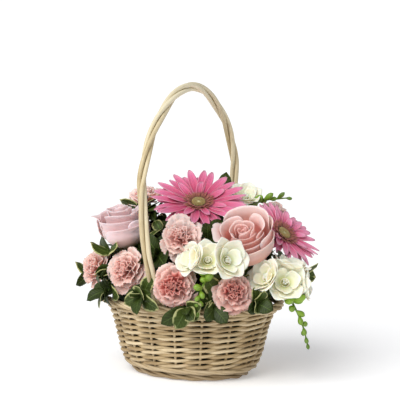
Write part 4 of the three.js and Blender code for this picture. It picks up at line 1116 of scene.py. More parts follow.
def rose_sheets(rose):
    """Tall petals round a tight coiled heart, low ones in front of it, all with soft rolled lips."""
    draw = random.Random(rose["seed"])
    frame = rose_frame(rose)
    foot = np.array(rose["foot"], float)
    sheets = []
    for petal in ROSE_PETALS:
        shape = rose_petal(petal, rose["tall"], rose["open"], rose["dome"], draw.uniform(0, PHASE))

        def form(across, along, shape=shape):
            return shape(across, along) @ frame * rose["size"] + foot

        sheets.append(shaped(18, 18, form, petal[-1] * 0.9 + draw.uniform(0, 0.08)))
    return sheets


def carnation_petal(draw, turn, lean, length, half, folds, crumple, roll):
    """One fan-shaped petal from the bloom's foot, with a waved edge of small teeth."""
    tilt = math.radians(lean + draw.uniform(-11, 9))
    reach = length * draw.uniform(0.82, 1.1)
    phase, bend, spin = draw.uniform(0, PHASE), draw.uniform(-0.3, 0.3), draw.uniform(-roll, roll)
    out = np.array((math.cos(turn), math.sin(turn), 0.0))
    up = np.array((0.0, 0.0, 1.0))
    run = out * math.sin(tilt) + up * math.cos(tilt)
    flat = np.cross(up, out)
    face = np.cross(run, flat)
    side = flat * math.cos(spin) + face * math.sin(spin)
    normal = face * math.cos(spin) - flat * math.sin(spin)

    def form(across, along):
        u = across * 2 - 1
        width = half * (0.14 + 0.86 * smooth(0.1, 0.8, along))
        teeth = 3.2 * np.abs((u * 3.0 + phase) % 1 - 0.5) * smooth(0.8, 1, along)
        distance = reach * along * (1 - 0.2 * np.abs(u) ** 2.4 * along) + teeth
        fold = crumple * along ** 2 * np.sin(u * folds * np.pi + phase)
        fold = fold + crumple * 0.35 * along ** 4 * np.sin(u * folds * 2.4 * np.pi + phase * 2)
        arch = -2.6 * np.sin(along * np.pi) * math.sin(tilt) - 1.6 * smooth(0.75, 1, along) * math.sin(tilt)
        aside = u * width + bend * along * 4
        return (np.array((0, 0, -9.2)) + run * distance[:, None] + side * aside[:, None]
                + normal * (fold + arch)[:, None])

    return form


def carnation_sheets(carnation):
    """Broad pale petals outside, and upright crumpled ones in the middle."""
    draw = random.Random(carnation["seed"])
    size = carnation["radius"] / CARNATION_RADIUS
    # Number, lean, length, half width, folds, crumple, roll and tone
    layers = [
        (6, 83, 26.0, 12.5, 1.2, 1.2, 0.2, 0.0),
        (6, 71, 24.5, 12.0, 1.4, 1.4, 0.3, 0.0),
        (6, 57, 21.5, 10.0, 1.7, 1.9, 0.5, 0.08),
        (6, 38, 18.5, 7.0, 2.0, 2.1, 0.8, 0.7),
        (6, 22, 18.0, 6.0, 2.1, 2.2, 1.1, 1.0),
        (5, 8, 17.5, 5.0, 2.2, 2.2, 1.4, 1.0),
    ]
    sheets = []
    for level, (count, lean, length, half, folds, crumple, roll, tone) in enumerate(layers):
        for index in range(count):
            turn = (index + 0.5 * (level % 2) + draw.uniform(-0.18, 0.18)) / count * 2 * math.pi
            petal = carnation_petal(draw, turn, lean, length, half, folds, crumple, roll)

            def form(across, along, petal=petal):
                return seated(petal(across, along) * size, carnation["at"], carnation["facing"])

            own = tone * (0.22 + 0.78 * carnation["heart"]) + draw.uniform(-0.04, 0.04)
            # Painted shade: a deep heart also draws the outer petals towards coral, darkening the low blooms
            # that sit in shade
            own += 0.16 * max(carnation["heart"], 0) * (1 - tone)
            sheets.append(shaped(14, 7, form, own))
    return sheets


def floret_sheets(joint, centre, radius, opened, draw):
    """A freesia floret: a slim tube that widens to a cup of rounded petals, three whorls deep."""
    joint, centre = np.array(joint, float), np.array(centre, float)
    facing = centre - joint
    length = np.linalg.norm(facing) - 1
    sheets = []
    spin = draw.uniform(0, 1)
    sides = 12

    def tube_form(across, along):
        z = along * (length - 5)
        ring = np.interp(z, [0, max(length - 13, 1), length - 5], [1.3, 2.4, 5.2])
        return seated(round_points(ring, ring_angle(across, sides), z), joint, facing)

    sheets.append(shaped(sides, 6, tube_form, 0.0))
    for index in range(5):
        turn = index * STAMEN_TURN + spin
        spread = np.array((math.cos(turn), math.sin(turn), 0))
        line = [np.array((0, 0, length - 14)) + spread, np.array((0, 0, length - 6)) + spread * 1.6,
                np.array((0, 0, length - 2)) + spread * 2.6]
        line = seated(np.array(line), joint, facing)
        sheets.append(cane(line, [1.2, 1.2, 0.7], sides=6, tone=0.3))
    # Number, offset, size, angle that they open to, breadth and depth
    whorls = [(3, 0.0, 1.17, 74, 0.86, 0.72), (3, 0.5, 0.98, 86, 0.84, 0.84), (3, 0.22, 0.6, 102, 0.6, 0.95)]
    for count, offset, size, open_angle, breadth, depth in whorls:
        for index in range(count):
            turn = (index + offset) * 2 * math.pi / count + spin + draw.uniform(-0.12, 0.12)
            wide = radius * breadth * draw.uniform(0.94, 1.06)
            wave = draw.uniform(0, PHASE)
            cup = radius * size * (0.4 + 0.6 * opened) * draw.uniform(0.95, 1.04)
            sweep = math.radians(open_angle + (1 - opened) * 40) * draw.uniform(0.94, 1.04)

            def form(across, along, turn=turn, wide=wide, wave=wave, cup=cup, sweep=sweep, depth=depth):
                u = across * 2 - 1
                far = along * (1 - 0.26 * np.abs(u) ** 2.0)
                reach = 2.6 + cup * np.sin(far * sweep) + 1.6 * smooth(0.75, 1, far)
                half = wide * np.sin(np.pi * (0.1 + 0.76 * far)) ** 0.6
                angle = turn + u * np.minimum(half / reach, 1.3)
                z = length - 7 + cup * depth * (1 - np.cos(far * sweep)) + 0.6 * u * far
                z = z - 2.0 * smooth(0.8, 1, far) + 1.1 * np.sin(u * 3.2 + wave) * far ** 3
                reach = reach + 0.9 * np.sin(u * 4.2 + wave * 2) * far ** 3
                return seated(round_points(reach, angle, z), joint, facing)

            sheets.append(shaped(10, 10, form, 0.5 + draw.uniform(-0.2, 0.2)))
    return sheets


def bud_tone(share, draw):
    """Fresh green next to the blooms, darker towards the tip of the spray."""
    return 1.95 - 2.2 * share + 0.35 * draw.random()


def bud_cane(foot, tip, thick, tone):
    """One plump bud that narrows to its tip."""
    parts = np.linspace(0, 1, 9)
    swell = np.interp(parts, [0, 0.12, 0.4, 0.7, 0.9, 1], [0.4, 0.55, 0.95, 1.0, 0.62, 0.15])
    line = [foot + (np.array(tip, float) - foot) * part for part in parts]
    return cane(line, swell * thick, ROD_SIDES, tone)


def freesia_rods(spray, draw):
    """The stem of a freesia with its buds: those in their places, and smaller ones in the gaps."""
    line, path = twig_path(spray, 8, (0.0,))
    radii = np.interp(np.linspace(0, 1, len(path)), [0, 0.2, 1], [1.5, 1.5, 0.85])
    rods = [cane(path, radii, ROD_SIDES, tone=0.2)]
    for share, tip, thick in spray["buds"]:
        foot, thick = smooth_line(line, share), thick * (1.85 - 0.65 * share)
        rods.append(bud_cane(foot, tip, thick, bud_tone(share, draw)))
    last = 8
    for index in range(last + 1):
        share = 0.5 + 0.48 * index / last
        if min(abs(share - bud[0]) for bud in spray["buds"]) < 0.035:
            continue
        foot = smooth_line(line, share)
        run = unit(smooth_line(line, min(share + 0.02, 1)) - smooth_line(line, share - 0.02))
        side = unit(np.cross(run, unit(foot - HEART))) * (1 if index % 2 else -1)
        reach = 11 - 5 * index / last
        tip = foot + (run * 0.75 + side * 0.55 + unit(foot - HEART) * 0.35) * reach
        rods.append(bud_cane(foot, tip, 3.9 - 1.5 * index / last, bud_tone(share, draw)))
    return rods


def twig_path(plant, steps_each, buried):
    """The points that a twig passes above the foam, and its path with points buried in the foam."""
    root = np.array(plant["root"], float)
    points = [np.array(point, float) for point in plant["line"]]
    dip = unit(points[0] - root) * STEM_DEPTH
    line = [root + dip] + points
    steps = len(points) * steps_each
    path = [root + dip * share for share in buried]
    return line, path + [smooth_line(line, step / steps) for step in range(steps + 1)]


def stem_line(root, end, facing):
    """Points of a stem: straight in the foam, then bending to the back of its head."""
    root, end, facing = (np.array(point, float) for point in (root, end, facing))
    lean = unit(end - facing * 12 - root)
    leave = root + lean * STEM_DEPTH
    reach = np.linalg.norm(leave - end) * 0.4
    p1, p2 = leave + lean * reach, end - facing * reach
    points = [root, root + lean * STEM_DEPTH * 0.5]
    for t in np.arange(15) / 14:
        s = 1 - t
        points.append(leave * s ** 3 + p1 * 3 * s * s * t + p2 * 3 * s * t * t + end * t ** 3)
    return points


def sepal(at, facing, turn, ring, start, length, width, reflex):
    """One pointed green sepal under a head."""

    def form(across, along):
        u = across * 2 - 1
        reach = ring + length * along * 0.75
        outline = 0.5 + 0.5 * smooth(0, 0.2, along) + 0.3 * np.sin(along * np.pi)
        half = width * 0.5 * (1 - along) ** 0.7 * outline
        z = start + length * 0.5 * along - reflex * along ** 2 + u * u * 0.8
        return seated(turned_points(reach, u * half, turn, z), at, facing)

    return shaped(4, 6, form, 0.4)


def head_stem(head, radius, calyx, sepals=None):
    """The tube of a stem and calyx, with sepals where the flower shows them. The calyx is given as
    heights on the head's axis with their radii, the sepals as their number and sizes."""
    axis = unit(head["facing"])
    at = np.array(head["at"], float)
    heights, widths = zip(*calyx)
    path = stem_line(head["root"], at + axis * heights[0], axis)
    radii = [radius] * (len(path) - 1) + [widths[0]]
    knots = np.linspace(0, 1, len(calyx))
    for share in np.linspace(0, 1, 9)[1:]:
        path.append(at + axis * np.interp(share, knots, heights))
        radii.append(np.interp(share, knots, widths))
    sheets = [cane(path, radii, sides=10, tone=0.15)]
    if sepals:
        count, ring, height, length, width, reflex = sepals
        for index in range(count):
            turn = index / count * 2 * math.pi
            sheets.append(sepal(at, axis, turn, ring, height, length, width, reflex))
    return sheets


def plant_stem(name, settings, *stem):
    """A head's stem as one piece, in the place of its plain node."""
    piece = closed(joined(f"{name}_stalk", head_stem(*stem), settings.finish_green()))
    hand_over(piece, "stem_green", f"{name}_stem")


# Foliage


def leaf_sheet(foot, tip, width, draw, tone):
    """One rounded leaf, folded a little along its rib, arched and waved."""
    foot, tip = np.array(foot, float), np.array(tip, float)
    run = tip - foot
    outward = unit((foot + tip) / 2 - HEART)
    side = unit(np.cross(run, outward))
    normal = unit(np.cross(side, run))
    length = np.linalg.norm(run)
    fold, arch = draw.uniform(0.08, 0.22), draw.uniform(0.06, 0.16)
    wave, phase = draw.uniform(0.3, 0.9), draw.uniform(0, PHASE)

    def form(across, along):
        u = across * 2 - 1
        middle = np.clip(along * 1.08 - 0.08, 0, 1)
        outline = (1 - np.abs(2 * middle ** 0.86 - 1) ** 2.3) ** 0.62
        half = np.maximum(width * 0.5 * outline, 0.45 * (along < 0.12))
        point = smooth(0.9, 1, along) * 0.02 * length
        lift = fold * half * np.abs(u) + arch * length * (np.sin(along * np.pi) - 0.35)
        lift = np.where(along < 0.12, lift * along / 0.12, lift)
        lift = lift + wave * u * u * np.sin(along * 9 + phase) * smooth(0.1, 0.4, along)
        return (foot + run * along[:, None] * (1 + point[:, None] / length) + side * (u * half)[:, None]
                + normal * lift[:, None])

    return shaped(6, 7, form, tone)


def free_of_blooms(points):
    """True where none of the points lies in a bloom's own room or in the handle's canes."""
    for head in GERBERAS + CARNATIONS:
        at, axis, radius = np.array(head["at"], float), unit(head["facing"]), head["radius"]
        behind = -0.2 if head in GERBERAS else -0.4
        for point in points:
            away = point - at
            depth = away.dot(axis)
            across = np.linalg.norm(away - axis * depth)
            if radius * behind < depth < radius * 0.6 and across < radius:
                return False
    balls = [(np.array(rose["foot"], float) + unit(rose["bloom"]) * 32 * rose["tall"], 31 * rose["size"])
             for rose in ROSES]
    balls += [(np.array(at, float), radius * 0.9) for spray in FREESIAS for at, radius, _ in spray["florets"]]
    if any(np.linalg.norm(point - middle) < radius for middle, radius in balls for point in points):
        return False
    half_width, start, least = HANDLE_ROOM
    return not any(abs(x) < half_width and abs(y) > start and z > least for x, y, z in points)


def leaf_tone(draw, light):
    """Above a half for a leaf with a cream margin, below it for a plain one."""
    return 0.5 + 0.45 * draw.random() if draw.random() < light else 0.45 * draw.random()


def clear_of_rim(point):
    """True where a point lies above or below the rods of the rim, or well inside or outside them."""
    low, high, share = RIM_ROOM
    around = math.hypot(point[0] / RIM[0], point[1] / RIM[1])
    return point[2] > high or abs(around - 1) > share or point[2] < low


def small_leaves(count, draw, foot_at, light, long, lift=0.2):
    """Leaves placed where they meet no bloom, keep inside the arrangement's box and clear the rim."""
    low, high = CAD_BOX
    leaves = []
    for _ in range(count):
        for _ in range(LEAF_TRIES):
            foot = foot_at()
            outward = unit(foot - HEART)
            way = unit(outward * 0.55 + unit([draw.gauss(0, 1) for _ in range(3)]) + np.array((0, 0, lift)))
            length = draw.uniform(*long)
            tip = foot + way * length
            body = [foot + way * length * part for part in (0.45, 0.75, 1.0)]
            is_outside = math.hypot(tip[0] / RIM_INSIDE[0], tip[1] / RIM_INSIDE[1]) >= 1
            if tip[2] < LEAF_LOWEST[is_outside]:
                continue
            if not all(least + BOX_MARGIN < place < most - BOX_MARGIN
                       for place, least, most in zip(tip * MM, low, high)):
                continue
            if lift < 0 and not all(clear_of_rim(point) for point in body):
                continue
            if free_of_blooms(body):
                width = length * draw.uniform(0.7, 0.9)
                leaves.append(leaf_sheet(foot, tip, width, draw, leaf_tone(draw, light)))
                break
    return leaves


def sprig_sheets(sprig, extra, seed):
    """A sprig: its twig, the large leaves in their places and smaller ones between them."""
    draw = random.Random(seed)
    light = sprig["light"]
    line, path = twig_path(sprig, 6, (0.0, 0.6))
    radii = np.interp(np.linspace(0, 1, len(path)), [0, 0.3, 1], [1.3, 1.3, 0.7])
    leaves = [leaf_sheet(smooth_line(line, share), tip, width, draw, leaf_tone(draw, light))
              for share, tip, width in sprig["leaves"]]
    leaves += small_leaves(extra, draw, lambda: smooth_line(line, draw.uniform(0, 1)), light, (15, 23))
    return cane(path, radii, sides=7, tone=0.3), leaves


def filler_sheets(count, rim_twigs, leaves_each, seed):
    """Short twigs with small leaves: those that fill the room under the blooms, and those round the rim."""
    draw = random.Random(seed)
    tips = []
    long, wide, tall = FILLER_DOME
    for index in range(count):
        reach = math.sqrt((index + 0.5) / count)
        turn = index * SPIRAL_TURN
        z = HEART[2] + tall * math.sqrt(max(0, 1 - reach * reach)) * draw.uniform(0.8, 1)
        tips.append((math.cos(turn) * reach * long, math.sin(turn) * reach * wide, z))
    tips += FILLER_TIPS
    low = len(tips)
    for index in range(rim_twigs):
        turn = (index + draw.uniform(0.2, 0.8)) / rim_twigs * 2 * math.pi
        x, y = math.cos(turn) * RIM_TWIG_ENDS[0], math.sin(turn) * RIM_TWIG_ENDS[1]
        tips.append((x, y, draw.uniform(101, 110)))
    groups = {"filler": ([], []), "rim": ([], [])}
    for index, tip in enumerate(tips):
        twigs, leaves = groups["filler" if index < low else "rim"]
        tip = np.array(tip, float)
        root = np.array((tip[0] * 0.6, tip[1] * 0.54, FOAM_TOP))
        bend = np.array((draw.uniform(-5, 5), draw.uniform(-5, 5), 8))
        line = [root, (root + tip) / 2 + bend, tip]
        path = [smooth_line(line, share) for share in np.linspace(0, 1, 9)]
        twigs.append(cane(path, np.linspace(1.0, 0.5, 9), sides=6, tone=0.3))

        def foot_at(line=line):
            return smooth_line(line, draw.uniform(0.3, 1))

        if index < low:
            leaves += small_leaves(leaves_each, draw, foot_at, 0.2, (15, 24))
        else:
            leaves += small_leaves(leaves_each, draw, foot_at, 0.4, (14, 22), -0.45)
    return groups


# Settings, operators and the panel


class FlowerBasketSettings(bpy.types.PropertyGroup):
    """Sizes and colours of the basket, its flowers and the stage."""

    weft_pairs: IntProperty(
        name="Weft Pairs", description="Pairs of rods over the height of the wall", default=11, min=4, max=20)
    stakes: IntProperty(
        name="Stakes", description="Upright canes of the wall, an even number", default=16, min=8, max=48)
    weft_radius: FloatProperty(
        name="Weft Radius", description="Half the thickness of a weft cane",
        default=0.00198, min=0.0005, max=0.004, unit="LENGTH", precision=5)
    stake_radius: FloatProperty(
        name="Stake Radius", description="Half the thickness of an upright cane",
        default=0.0015, min=0.0005, max=0.004, unit="LENGTH", precision=5)
    handle_radius: FloatProperty(
        name="Handle Cane Radius", description="Half the thickness of a cane of the handle",
        default=0.00256, min=0.001, max=0.006, unit="LENGTH", precision=5)
    band_steps: IntProperty(
        name="Band Steps", description="Points along each rod of the rim and foot",
        default=300, min=60, max=900)
    extra_leaves: IntProperty(
        name="Small Leaves", description="Smaller leaves added to each sprig", default=13, min=0, max=40)
    filler_twigs: IntProperty(
        name="Filler Twigs", description="Short leafy twigs under the blooms", default=62, min=0, max=160)
    rim_twigs: IntProperty(
        name="Rim Twigs", description="Short leafy twigs that hang out over the rim",
        default=26, min=0, max=60)
    wicker_colour: FloatVectorProperty(
        name="Wicker Colour", description="Middle colour of the basket's canes",
        subtype="COLOR", size=4, min=0, max=1, default=srgb(178, 154, 112))
    handle_colour: FloatVectorProperty(
        name="Handle Colour", description="Middle colour of the handle's canes",
        subtype="COLOR", size=4, min=0, max=1, default=srgb(206, 187, 146))
    gerbera_colour: FloatVectorProperty(
        name="Gerbera Colour", description="Colour of the long petals",
        subtype="COLOR", size=4, min=0, max=1, default=srgb(216, 90, 128))
    leaf_colour: FloatVectorProperty(
        name="Leaf Colour", description="Colour of the dark leaves",
        subtype="COLOR", size=4, min=0, max=1, default=srgb(31, 42, 13))
    key_power: FloatProperty(
        name="Key Light", description="Strength of the large soft light", default=2.75, min=0, max=100)
    sky_strength: FloatProperty(
        name="Sky", description="Strength of the even light all round", default=0.38, min=0, max=5)
    floor_glow: FloatProperty(
        name="Floor Glow", description="Light that the white floor gives back", default=0.27, min=0, max=2)
    camera_distance: FloatProperty(
        name="Camera Distance", description="From the camera to the middle of the flowers",
        default=2.0, min=0.5, max=10, unit="LENGTH")
    camera_lens: FloatProperty(
        name="Camera Lens", description="Focal length on a 36 mm sensor",
        default=155.3, min=20, max=400, unit="CAMERA")

    def finish_wicker(self):
        """The basket's cane, made once."""
        name = "wicker_cane"
        found = bpy.data.materials.get(name)
        return found or cane_finish(name, srgb(132, 105, 70), self.wicker_colour, srgb(234, 216, 180))

    def finish_green(self):
        """Stems and twigs, made once."""
        found = bpy.data.materials.get("streaked_stem")
        return found or stem_finish("streaked_stem", srgb(52, 76, 30), srgb(104, 138, 56))


class FLOWERBASKET_OT_weave_wall(bpy.types.Operator):
    """Weave the wall: pairs of rods that cross between the stakes, over a band of three at the foot"""

    bl_idname = "flower_basket.weave_wall"
    bl_label = "Weave Wall"

    def execute(self, context):
        settings = context.scene.flower_basket
        draw = random.Random(31)
        rods = weft_rods(settings, draw) + stake_rods(settings, draw)
        rise, inset = WALL_BAND
        height = WALL_PROFILE[0][0] + rise
        a, b = wall_half_lengths(height)
        band = (a - inset, b - inset, height)
        rods += wound_rods(settings, band, strands=3, turns=5, rod=1.9, lay=1.85, flat=1.1, seed=35)
        basket_piece("wall_weave", rods, settings, "basket_wall")
        return {"FINISHED"}


class FLOWERBASKET_OT_bind_rim(bpy.types.Operator):
    """Wind the border of rods round the rim"""

    bl_idname = "flower_basket.bind_rim"
    bl_label = "Bind Rim"

    def execute(self, context):
        settings = context.scene.flower_basket
        rods = wound_rods(settings, RIM, strands=5, turns=7, rod=2.0, lay=2.95, flat=1.08, seed=41)
        basket_piece("rim_border", rods, settings, "basket_rim")
        return {"FINISHED"}


class FLOWERBASKET_OT_bind_foot(bpy.types.Operator):
    """Wind the band of rods round the foot"""

    bl_idname = "flower_basket.bind_foot"
    bl_label = "Bind Foot"

    def execute(self, context):
        settings = context.scene.flower_basket
        rods = wound_rods(settings, FOOT, strands=3, turns=5, rod=2.0, lay=2.0, flat=1.1, seed=43)
        basket_piece("foot_band", rods, settings, "basket_foot")
        return {"FINISHED"}


class FLOWERBASKET_OT_wind_handle(bpy.types.Operator):
    """Wind the three canes of the handle round each other"""

    bl_idname = "flower_basket.wind_handle"
    bl_label = "Wind Handle"

    def execute(self, context):
        settings = context.scene.flower_basket
        finish = cane_finish("handle_cane", srgb(140, 116, 72), settings.handle_colour, srgb(240, 232, 204))
        steps = 180
        shares = np.linspace(0, 1, steps + 1)
        for index in range(3):
            radii = settings.handle_radius / MM * (1 + 0.05 * np.sin(shares * 40 + index * 2))
            rod = cane(handle_cane(index, steps), radii, sides=14, tone=0.2 + 0.3 * index)
            piece = closed(joined(f"handle_cane_{index + 1}", [rod], finish))
            hand_over(piece, "handle_cane", f"handle_rod_{index + 1}")
        return {"FINISHED"}


class FLOWERBASKET_OT_finish_inside(bpy.types.Operator):
    """Give the base board, the liner and the foam their materials"""

    bl_idname = "flower_basket.finish_inside"
    bl_label = "Finish Inside"

    def execute(self, context):
        film = closed(joined("liner_film", [liner_sheet()], liner_finish()))
        film = thickened(film, THICKNESS["liner"])
        hand_over(film, "liner_film", "liner")
        for node, finish in (("basket_base", base_finish()), ("floral_foam", foam_finish())):
            mesh = NODES[node].data
            mesh.materials.clear()
            mesh.materials.append(finish)
        return {"FINISHED"}


class FLOWERBASKET_OT_grow_gerberas(bpy.types.Operator):
    """Grow the gerberas: whorls of long petals, a ring of short ones and the eye"""

    bl_idname = "flower_basket.grow_gerberas"
    bl_label = "Grow Gerberas"

    def execute(self, context):
        settings = context.scene.flower_basket
        # The second gerbera faces away from the key light, so its petals are painted paler: painted light
        finishes = [gerbera_finish("gerbera_petal_deep", settings.gerbera_colour, srgb(230, 122, 164)),
                    gerbera_finish("gerbera_petal_pale", srgb(232, 112, 150), srgb(244, 160, 192))]
        eye = petal_finish(
            "gerbera_disc",
            [(0.0, srgb(140, 116, 60)), (0.6, srgb(208, 192, 128)), (1.0, srgb(232, 220, 170))],
            edge=srgb(232, 222, 172), edge_and_highlight_share=0.3, vein=srgb(132, 100, 56), spots=0.3)
        calyx = [(-9.5, 3), (-7, 5), (-4.4, 7.5), (-2.4, 8)]
        for gerbera, petals in zip(GERBERAS, finishes):
            name = gerbera["name"]
            piece = joined(f"{name}_bloom", gerbera_sheets(gerbera), petals)
            piece = thickened(piece, THICKNESS["gerbera"])
            hand_over(piece, "gerbera_petal", f"{name}_petals")
            piece = closed(joined(f"{name}_disc", gerbera_eye_sheets(gerbera), eye))
            hand_over(piece, "gerbera_eye", f"{name}_eye")
            plant_stem(name, settings, gerbera, 2.3, calyx)
        return {"FINISHED"}


class FLOWERBASKET_OT_grow_roses(bpy.types.Operator):
    """Grow the roses: spiralled petals with turned lips"""

    bl_idname = "flower_basket.grow_roses"
    bl_label = "Grow Roses"

    def execute(self, context):
        settings = context.scene.flower_basket
        finishes = {
            "rose_peach": petal_finish(
                "rose_peach", [(0.0, srgb(222, 166, 118)), (0.35, srgb(233, 144, 128)),
                               (0.7, srgb(243, 182, 172)), (1.0, srgb(250, 214, 208))],
                edge=srgb(250, 224, 220), edge_and_highlight_share=0.1, vein=srgb(238, 162, 150), spots=0.35,
                sheen=0.3, heart=srgb(218, 92, 82)),
            "rose_lilac": petal_finish(
                "rose_lilac", [(0.0, srgb(218, 190, 152)), (0.3, srgb(228, 184, 172)),
                               (0.7, srgb(230, 188, 188)), (1.0, srgb(240, 210, 213))],
                edge=srgb(248, 224, 226), edge_and_highlight_share=0.12, vein=srgb(228, 182, 190), spots=0.4,
                sheen=0.3, heart=srgb(230, 172, 170)),
        }
        for rose in ROSES:
            name, size = rose["name"], rose["size"]
            piece = joined(f"{name}_bloom", rose_sheets(rose), finishes[rose["slot"]])
            piece = thickened(piece, THICKNESS["rose"])
            hand_over(piece, rose["slot"], f"{name}_petals")
            head = dict(at=rose["foot"], facing=rose["bloom"], root=rose["root"])
            calyx = [(-8 * size, 3.2), (-4 * size, 5 * size), (-size, 6.4 * size), (1.6 * size, 6.2 * size)]
            sepals = (5, 5.4 * size, 0.4 * size, 17 * size, 7 * size, 3 * size)
            plant_stem(name, settings, head, 2.2, calyx, sepals)
        return {"FINISHED"}


class FLOWERBASKET_OT_grow_carnations(bpy.types.Operator):
    """Grow the spray carnations: dense frilled petals over a green calyx"""

    bl_idname = "flower_basket.grow_carnations"
    bl_label = "Grow Carnations"

    def execute(self, context):
        settings = context.scene.flower_basket
        petals = carnation_finish()
        for carnation in CARNATIONS:
            name, size = carnation["name"], carnation["radius"] / CARNATION_RADIUS
            piece = joined(f"{name}_bloom", carnation_sheets(carnation), petals)
            piece = thickened(piece, THICKNESS["carnation"])
            hand_over(piece, "carnation_petal", f"{name}_petals")
            calyx = [(-26, 2.8), (-20, 4.4), (-12, 4.2), (-10.7, 3.6)]
            calyx = [(height * size, width * size) for height, width in calyx]
            plant_stem(name, settings, carnation, 1.5, calyx)
        return {"FINISHED"}


class FLOWERBASKET_OT_grow_freesias(bpy.types.Operator):
    """Grow the freesias: white florets on their tubes, green buds in a row to the tip"""

    bl_idname = "flower_basket.grow_freesias"
    bl_label = "Grow Freesias"

    def execute(self, context):
        petals = petal_finish(
            "freesia_petal",
            [(0.0, srgb(186, 192, 84)), (0.16, srgb(228, 222, 146)), (0.42, srgb(248, 241, 206)),
             (1.0, srgb(254, 249, 230))],
            edge=srgb(253, 251, 232), edge_and_highlight_share=0.15, vein=srgb(232, 228, 188), spots=0.12, sheen=0.1)
        green = stem_finish("freesia_green", srgb(40, 68, 18), srgb(146, 184, 56))
        for spray in FREESIAS:
            name = spray["name"]
            draw = random.Random(spray["seed"])
            sheets = []
            for centre, radius, opened in spray["florets"]:
                sheets.extend(floret_sheets(spray["joint"], centre, radius, opened, draw))
            blooms = thickened(joined(f"{name}_blooms", sheets, petals), THICKNESS["freesia"])
            hand_over(blooms, "freesia_petal", f"{name}_florets")
            stem = closed(joined(f"{name}_green", freesia_rods(spray, draw), green))
            hand_over(stem, "stem_green", f"{name}_stem")
        return {"FINISHED"}


class FLOWERBASKET_OT_grow_foliage(bpy.types.Operator):
    """Grow the sprigs of rounded leaves"""

    bl_idname = "flower_basket.grow_foliage"
    bl_label = "Grow Foliage"

    def execute(self, context):
        settings = context.scene.flower_basket
        leaf = leaf_finish("leaf_green", settings.leaf_colour, srgb(74, 90, 28), srgb(188, 188, 128))
        for number, sprig in enumerate(SPRIGS):
            twig, leaves = sprig_sheets(sprig, settings.extra_leaves, seed=60 + number)
            name = sprig["name"]
            blades = thickened(joined(f"{name}_leaves", leaves, leaf), THICKNESS["leaf"])
            hand_over(blades, "leaf", name)
            hand_over(closed(joined(f"{name}_twig", [twig], settings.finish_green())), "leaf", name)
        groups = filler_sheets(settings.filler_twigs, settings.rim_twigs, leaves_each=9, seed=90)
        for name, (twigs, leaves) in groups.items():
            hand_over(closed(joined(f"{name}_twigs", twigs, settings.finish_green())), "leaf")
            hand_over(thickened(joined(f"{name}_leaves", leaves, leaf), THICKNESS["leaf"]), "leaf")
        return {"FINISHED"}


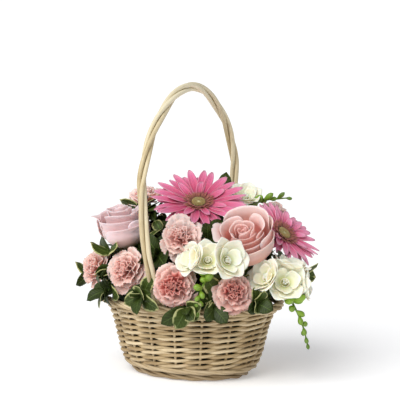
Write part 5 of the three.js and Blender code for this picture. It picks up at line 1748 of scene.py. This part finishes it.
class FLOWERBASKET_OT_set_stage(bpy.types.Operator):
    """Lay the pale floor, hang the soft lights and set the camera"""

    bl_idname = "flower_basket.set_stage"
    bl_label = "Set Stage"

    def execute(self, context):
        settings = context.scene.flower_basket
        deselect()
        bpy.ops.mesh.primitive_plane_add(size=FLOOR_SIZE, location=(0, 0, FLOOR_LEVEL))
        floor = context.object
        floor.name = "floor"
        finish = Finish("floor_white")
        haze = finish.noise(finish.position(), 3.0, 2.0)
        colour = finish.mix((0.86, 0.86, 0.87, 1), (0.9, 0.9, 0.9, 1), haze)
        floor.data.materials.append(finish.surface(colour, 0.8, emission_color=(1, 1, 1, 1),
                                                   emission_strength=settings.floor_glow))
        world = bpy.data.worlds.new("soft_sky")
        world.use_nodes = True
        background = world.node_tree.nodes["Background"]
        background.inputs["Color"].default_value = SKY_COLOUR
        background.inputs["Strength"].default_value = settings.sky_strength
        context.scene.world = world
        back = Vector((math.sin(CAMERA_ROUND) * math.cos(CAMERA_UP),
                       -math.cos(CAMERA_ROUND) * math.cos(CAMERA_UP), math.sin(CAMERA_UP)))
        left = Vector((-math.cos(CAMERA_ROUND), -math.sin(CAMERA_ROUND), 0))
        aside, near, above = KEY_PLACE
        towards = left * aside + back * near + Vector((0, 0, above))
        bpy.ops.object.light_add(type="SUN", location=CAMERA_AIM + towards)
        sun = context.object
        sun.name = "key_light"
        sun.data.energy = settings.key_power
        sun.data.angle = KEY_ANGLE
        sun.rotation_euler = (-towards).to_track_quat("-Z", "Y").to_euler()
        bpy.ops.object.camera_add(location=CAMERA_AIM + back * settings.camera_distance)
        camera = context.object
        camera.name = "camera"
        camera.rotation_euler = (-back).to_track_quat("-Z", "Y").to_euler()
        camera.data.lens = settings.camera_lens
        camera.data.sensor_width = CAMERA_SENSOR
        camera.data.clip_start, camera.data.clip_end = CAMERA_CLIP
        context.scene.camera = camera
        context.scene.view_settings.view_transform = "Standard"
        return {"FINISHED"}


OPERATORS = [
    FLOWERBASKET_OT_weave_wall,
    FLOWERBASKET_OT_bind_rim,
    FLOWERBASKET_OT_bind_foot,
    FLOWERBASKET_OT_wind_handle,
    FLOWERBASKET_OT_finish_inside,
    FLOWERBASKET_OT_grow_gerberas,
    FLOWERBASKET_OT_grow_roses,
    FLOWERBASKET_OT_grow_carnations,
    FLOWERBASKET_OT_grow_freesias,
    FLOWERBASKET_OT_grow_foliage,
    FLOWERBASKET_OT_set_stage,
]


class FLOWERBASKET_PT_panel(bpy.types.Panel):
    """The sidebar panel of the arrangement"""

    bl_idname = "FLOWERBASKET_PT_panel"
    bl_label = "Flower Basket"
    bl_space_type = "VIEW_3D"
    bl_region_type = "UI"
    bl_category = "Flower Basket"

    def draw(self, context):
        settings = context.scene.flower_basket
        column = self.layout.column()
        for name in FlowerBasketSettings.__annotations__:
            column.prop(settings, name)
        for operator in OPERATORS:
            column.operator(operator.bl_idname)


def register():
    """Makes the settings, the operators and the panel known."""
    for item in (FlowerBasketSettings, *OPERATORS, FLOWERBASKET_PT_panel):
        bpy.utils.register_class(item)
    bpy.types.Scene.flower_basket = PointerProperty(type=FlowerBasketSettings)


def unregister():
    """Takes them out again."""
    del bpy.types.Scene.flower_basket
    for item in (FLOWERBASKET_PT_panel, *reversed(OPERATORS), FlowerBasketSettings):
        bpy.utils.unregister_class(item)


def main():
    """Builds every piece and the stage."""
    register()
    bpy.ops.flower_basket.weave_wall()
    bpy.ops.flower_basket.bind_rim()
    bpy.ops.flower_basket.bind_foot()
    bpy.ops.flower_basket.wind_handle()
    bpy.ops.flower_basket.finish_inside()
    bpy.ops.flower_basket.grow_gerberas()
    bpy.ops.flower_basket.grow_roses()
    bpy.ops.flower_basket.grow_carnations()
    bpy.ops.flower_basket.grow_freesias()
    bpy.ops.flower_basket.grow_foliage()
    bpy.ops.flower_basket.set_stage()


if __name__ == "__main__":
    main()
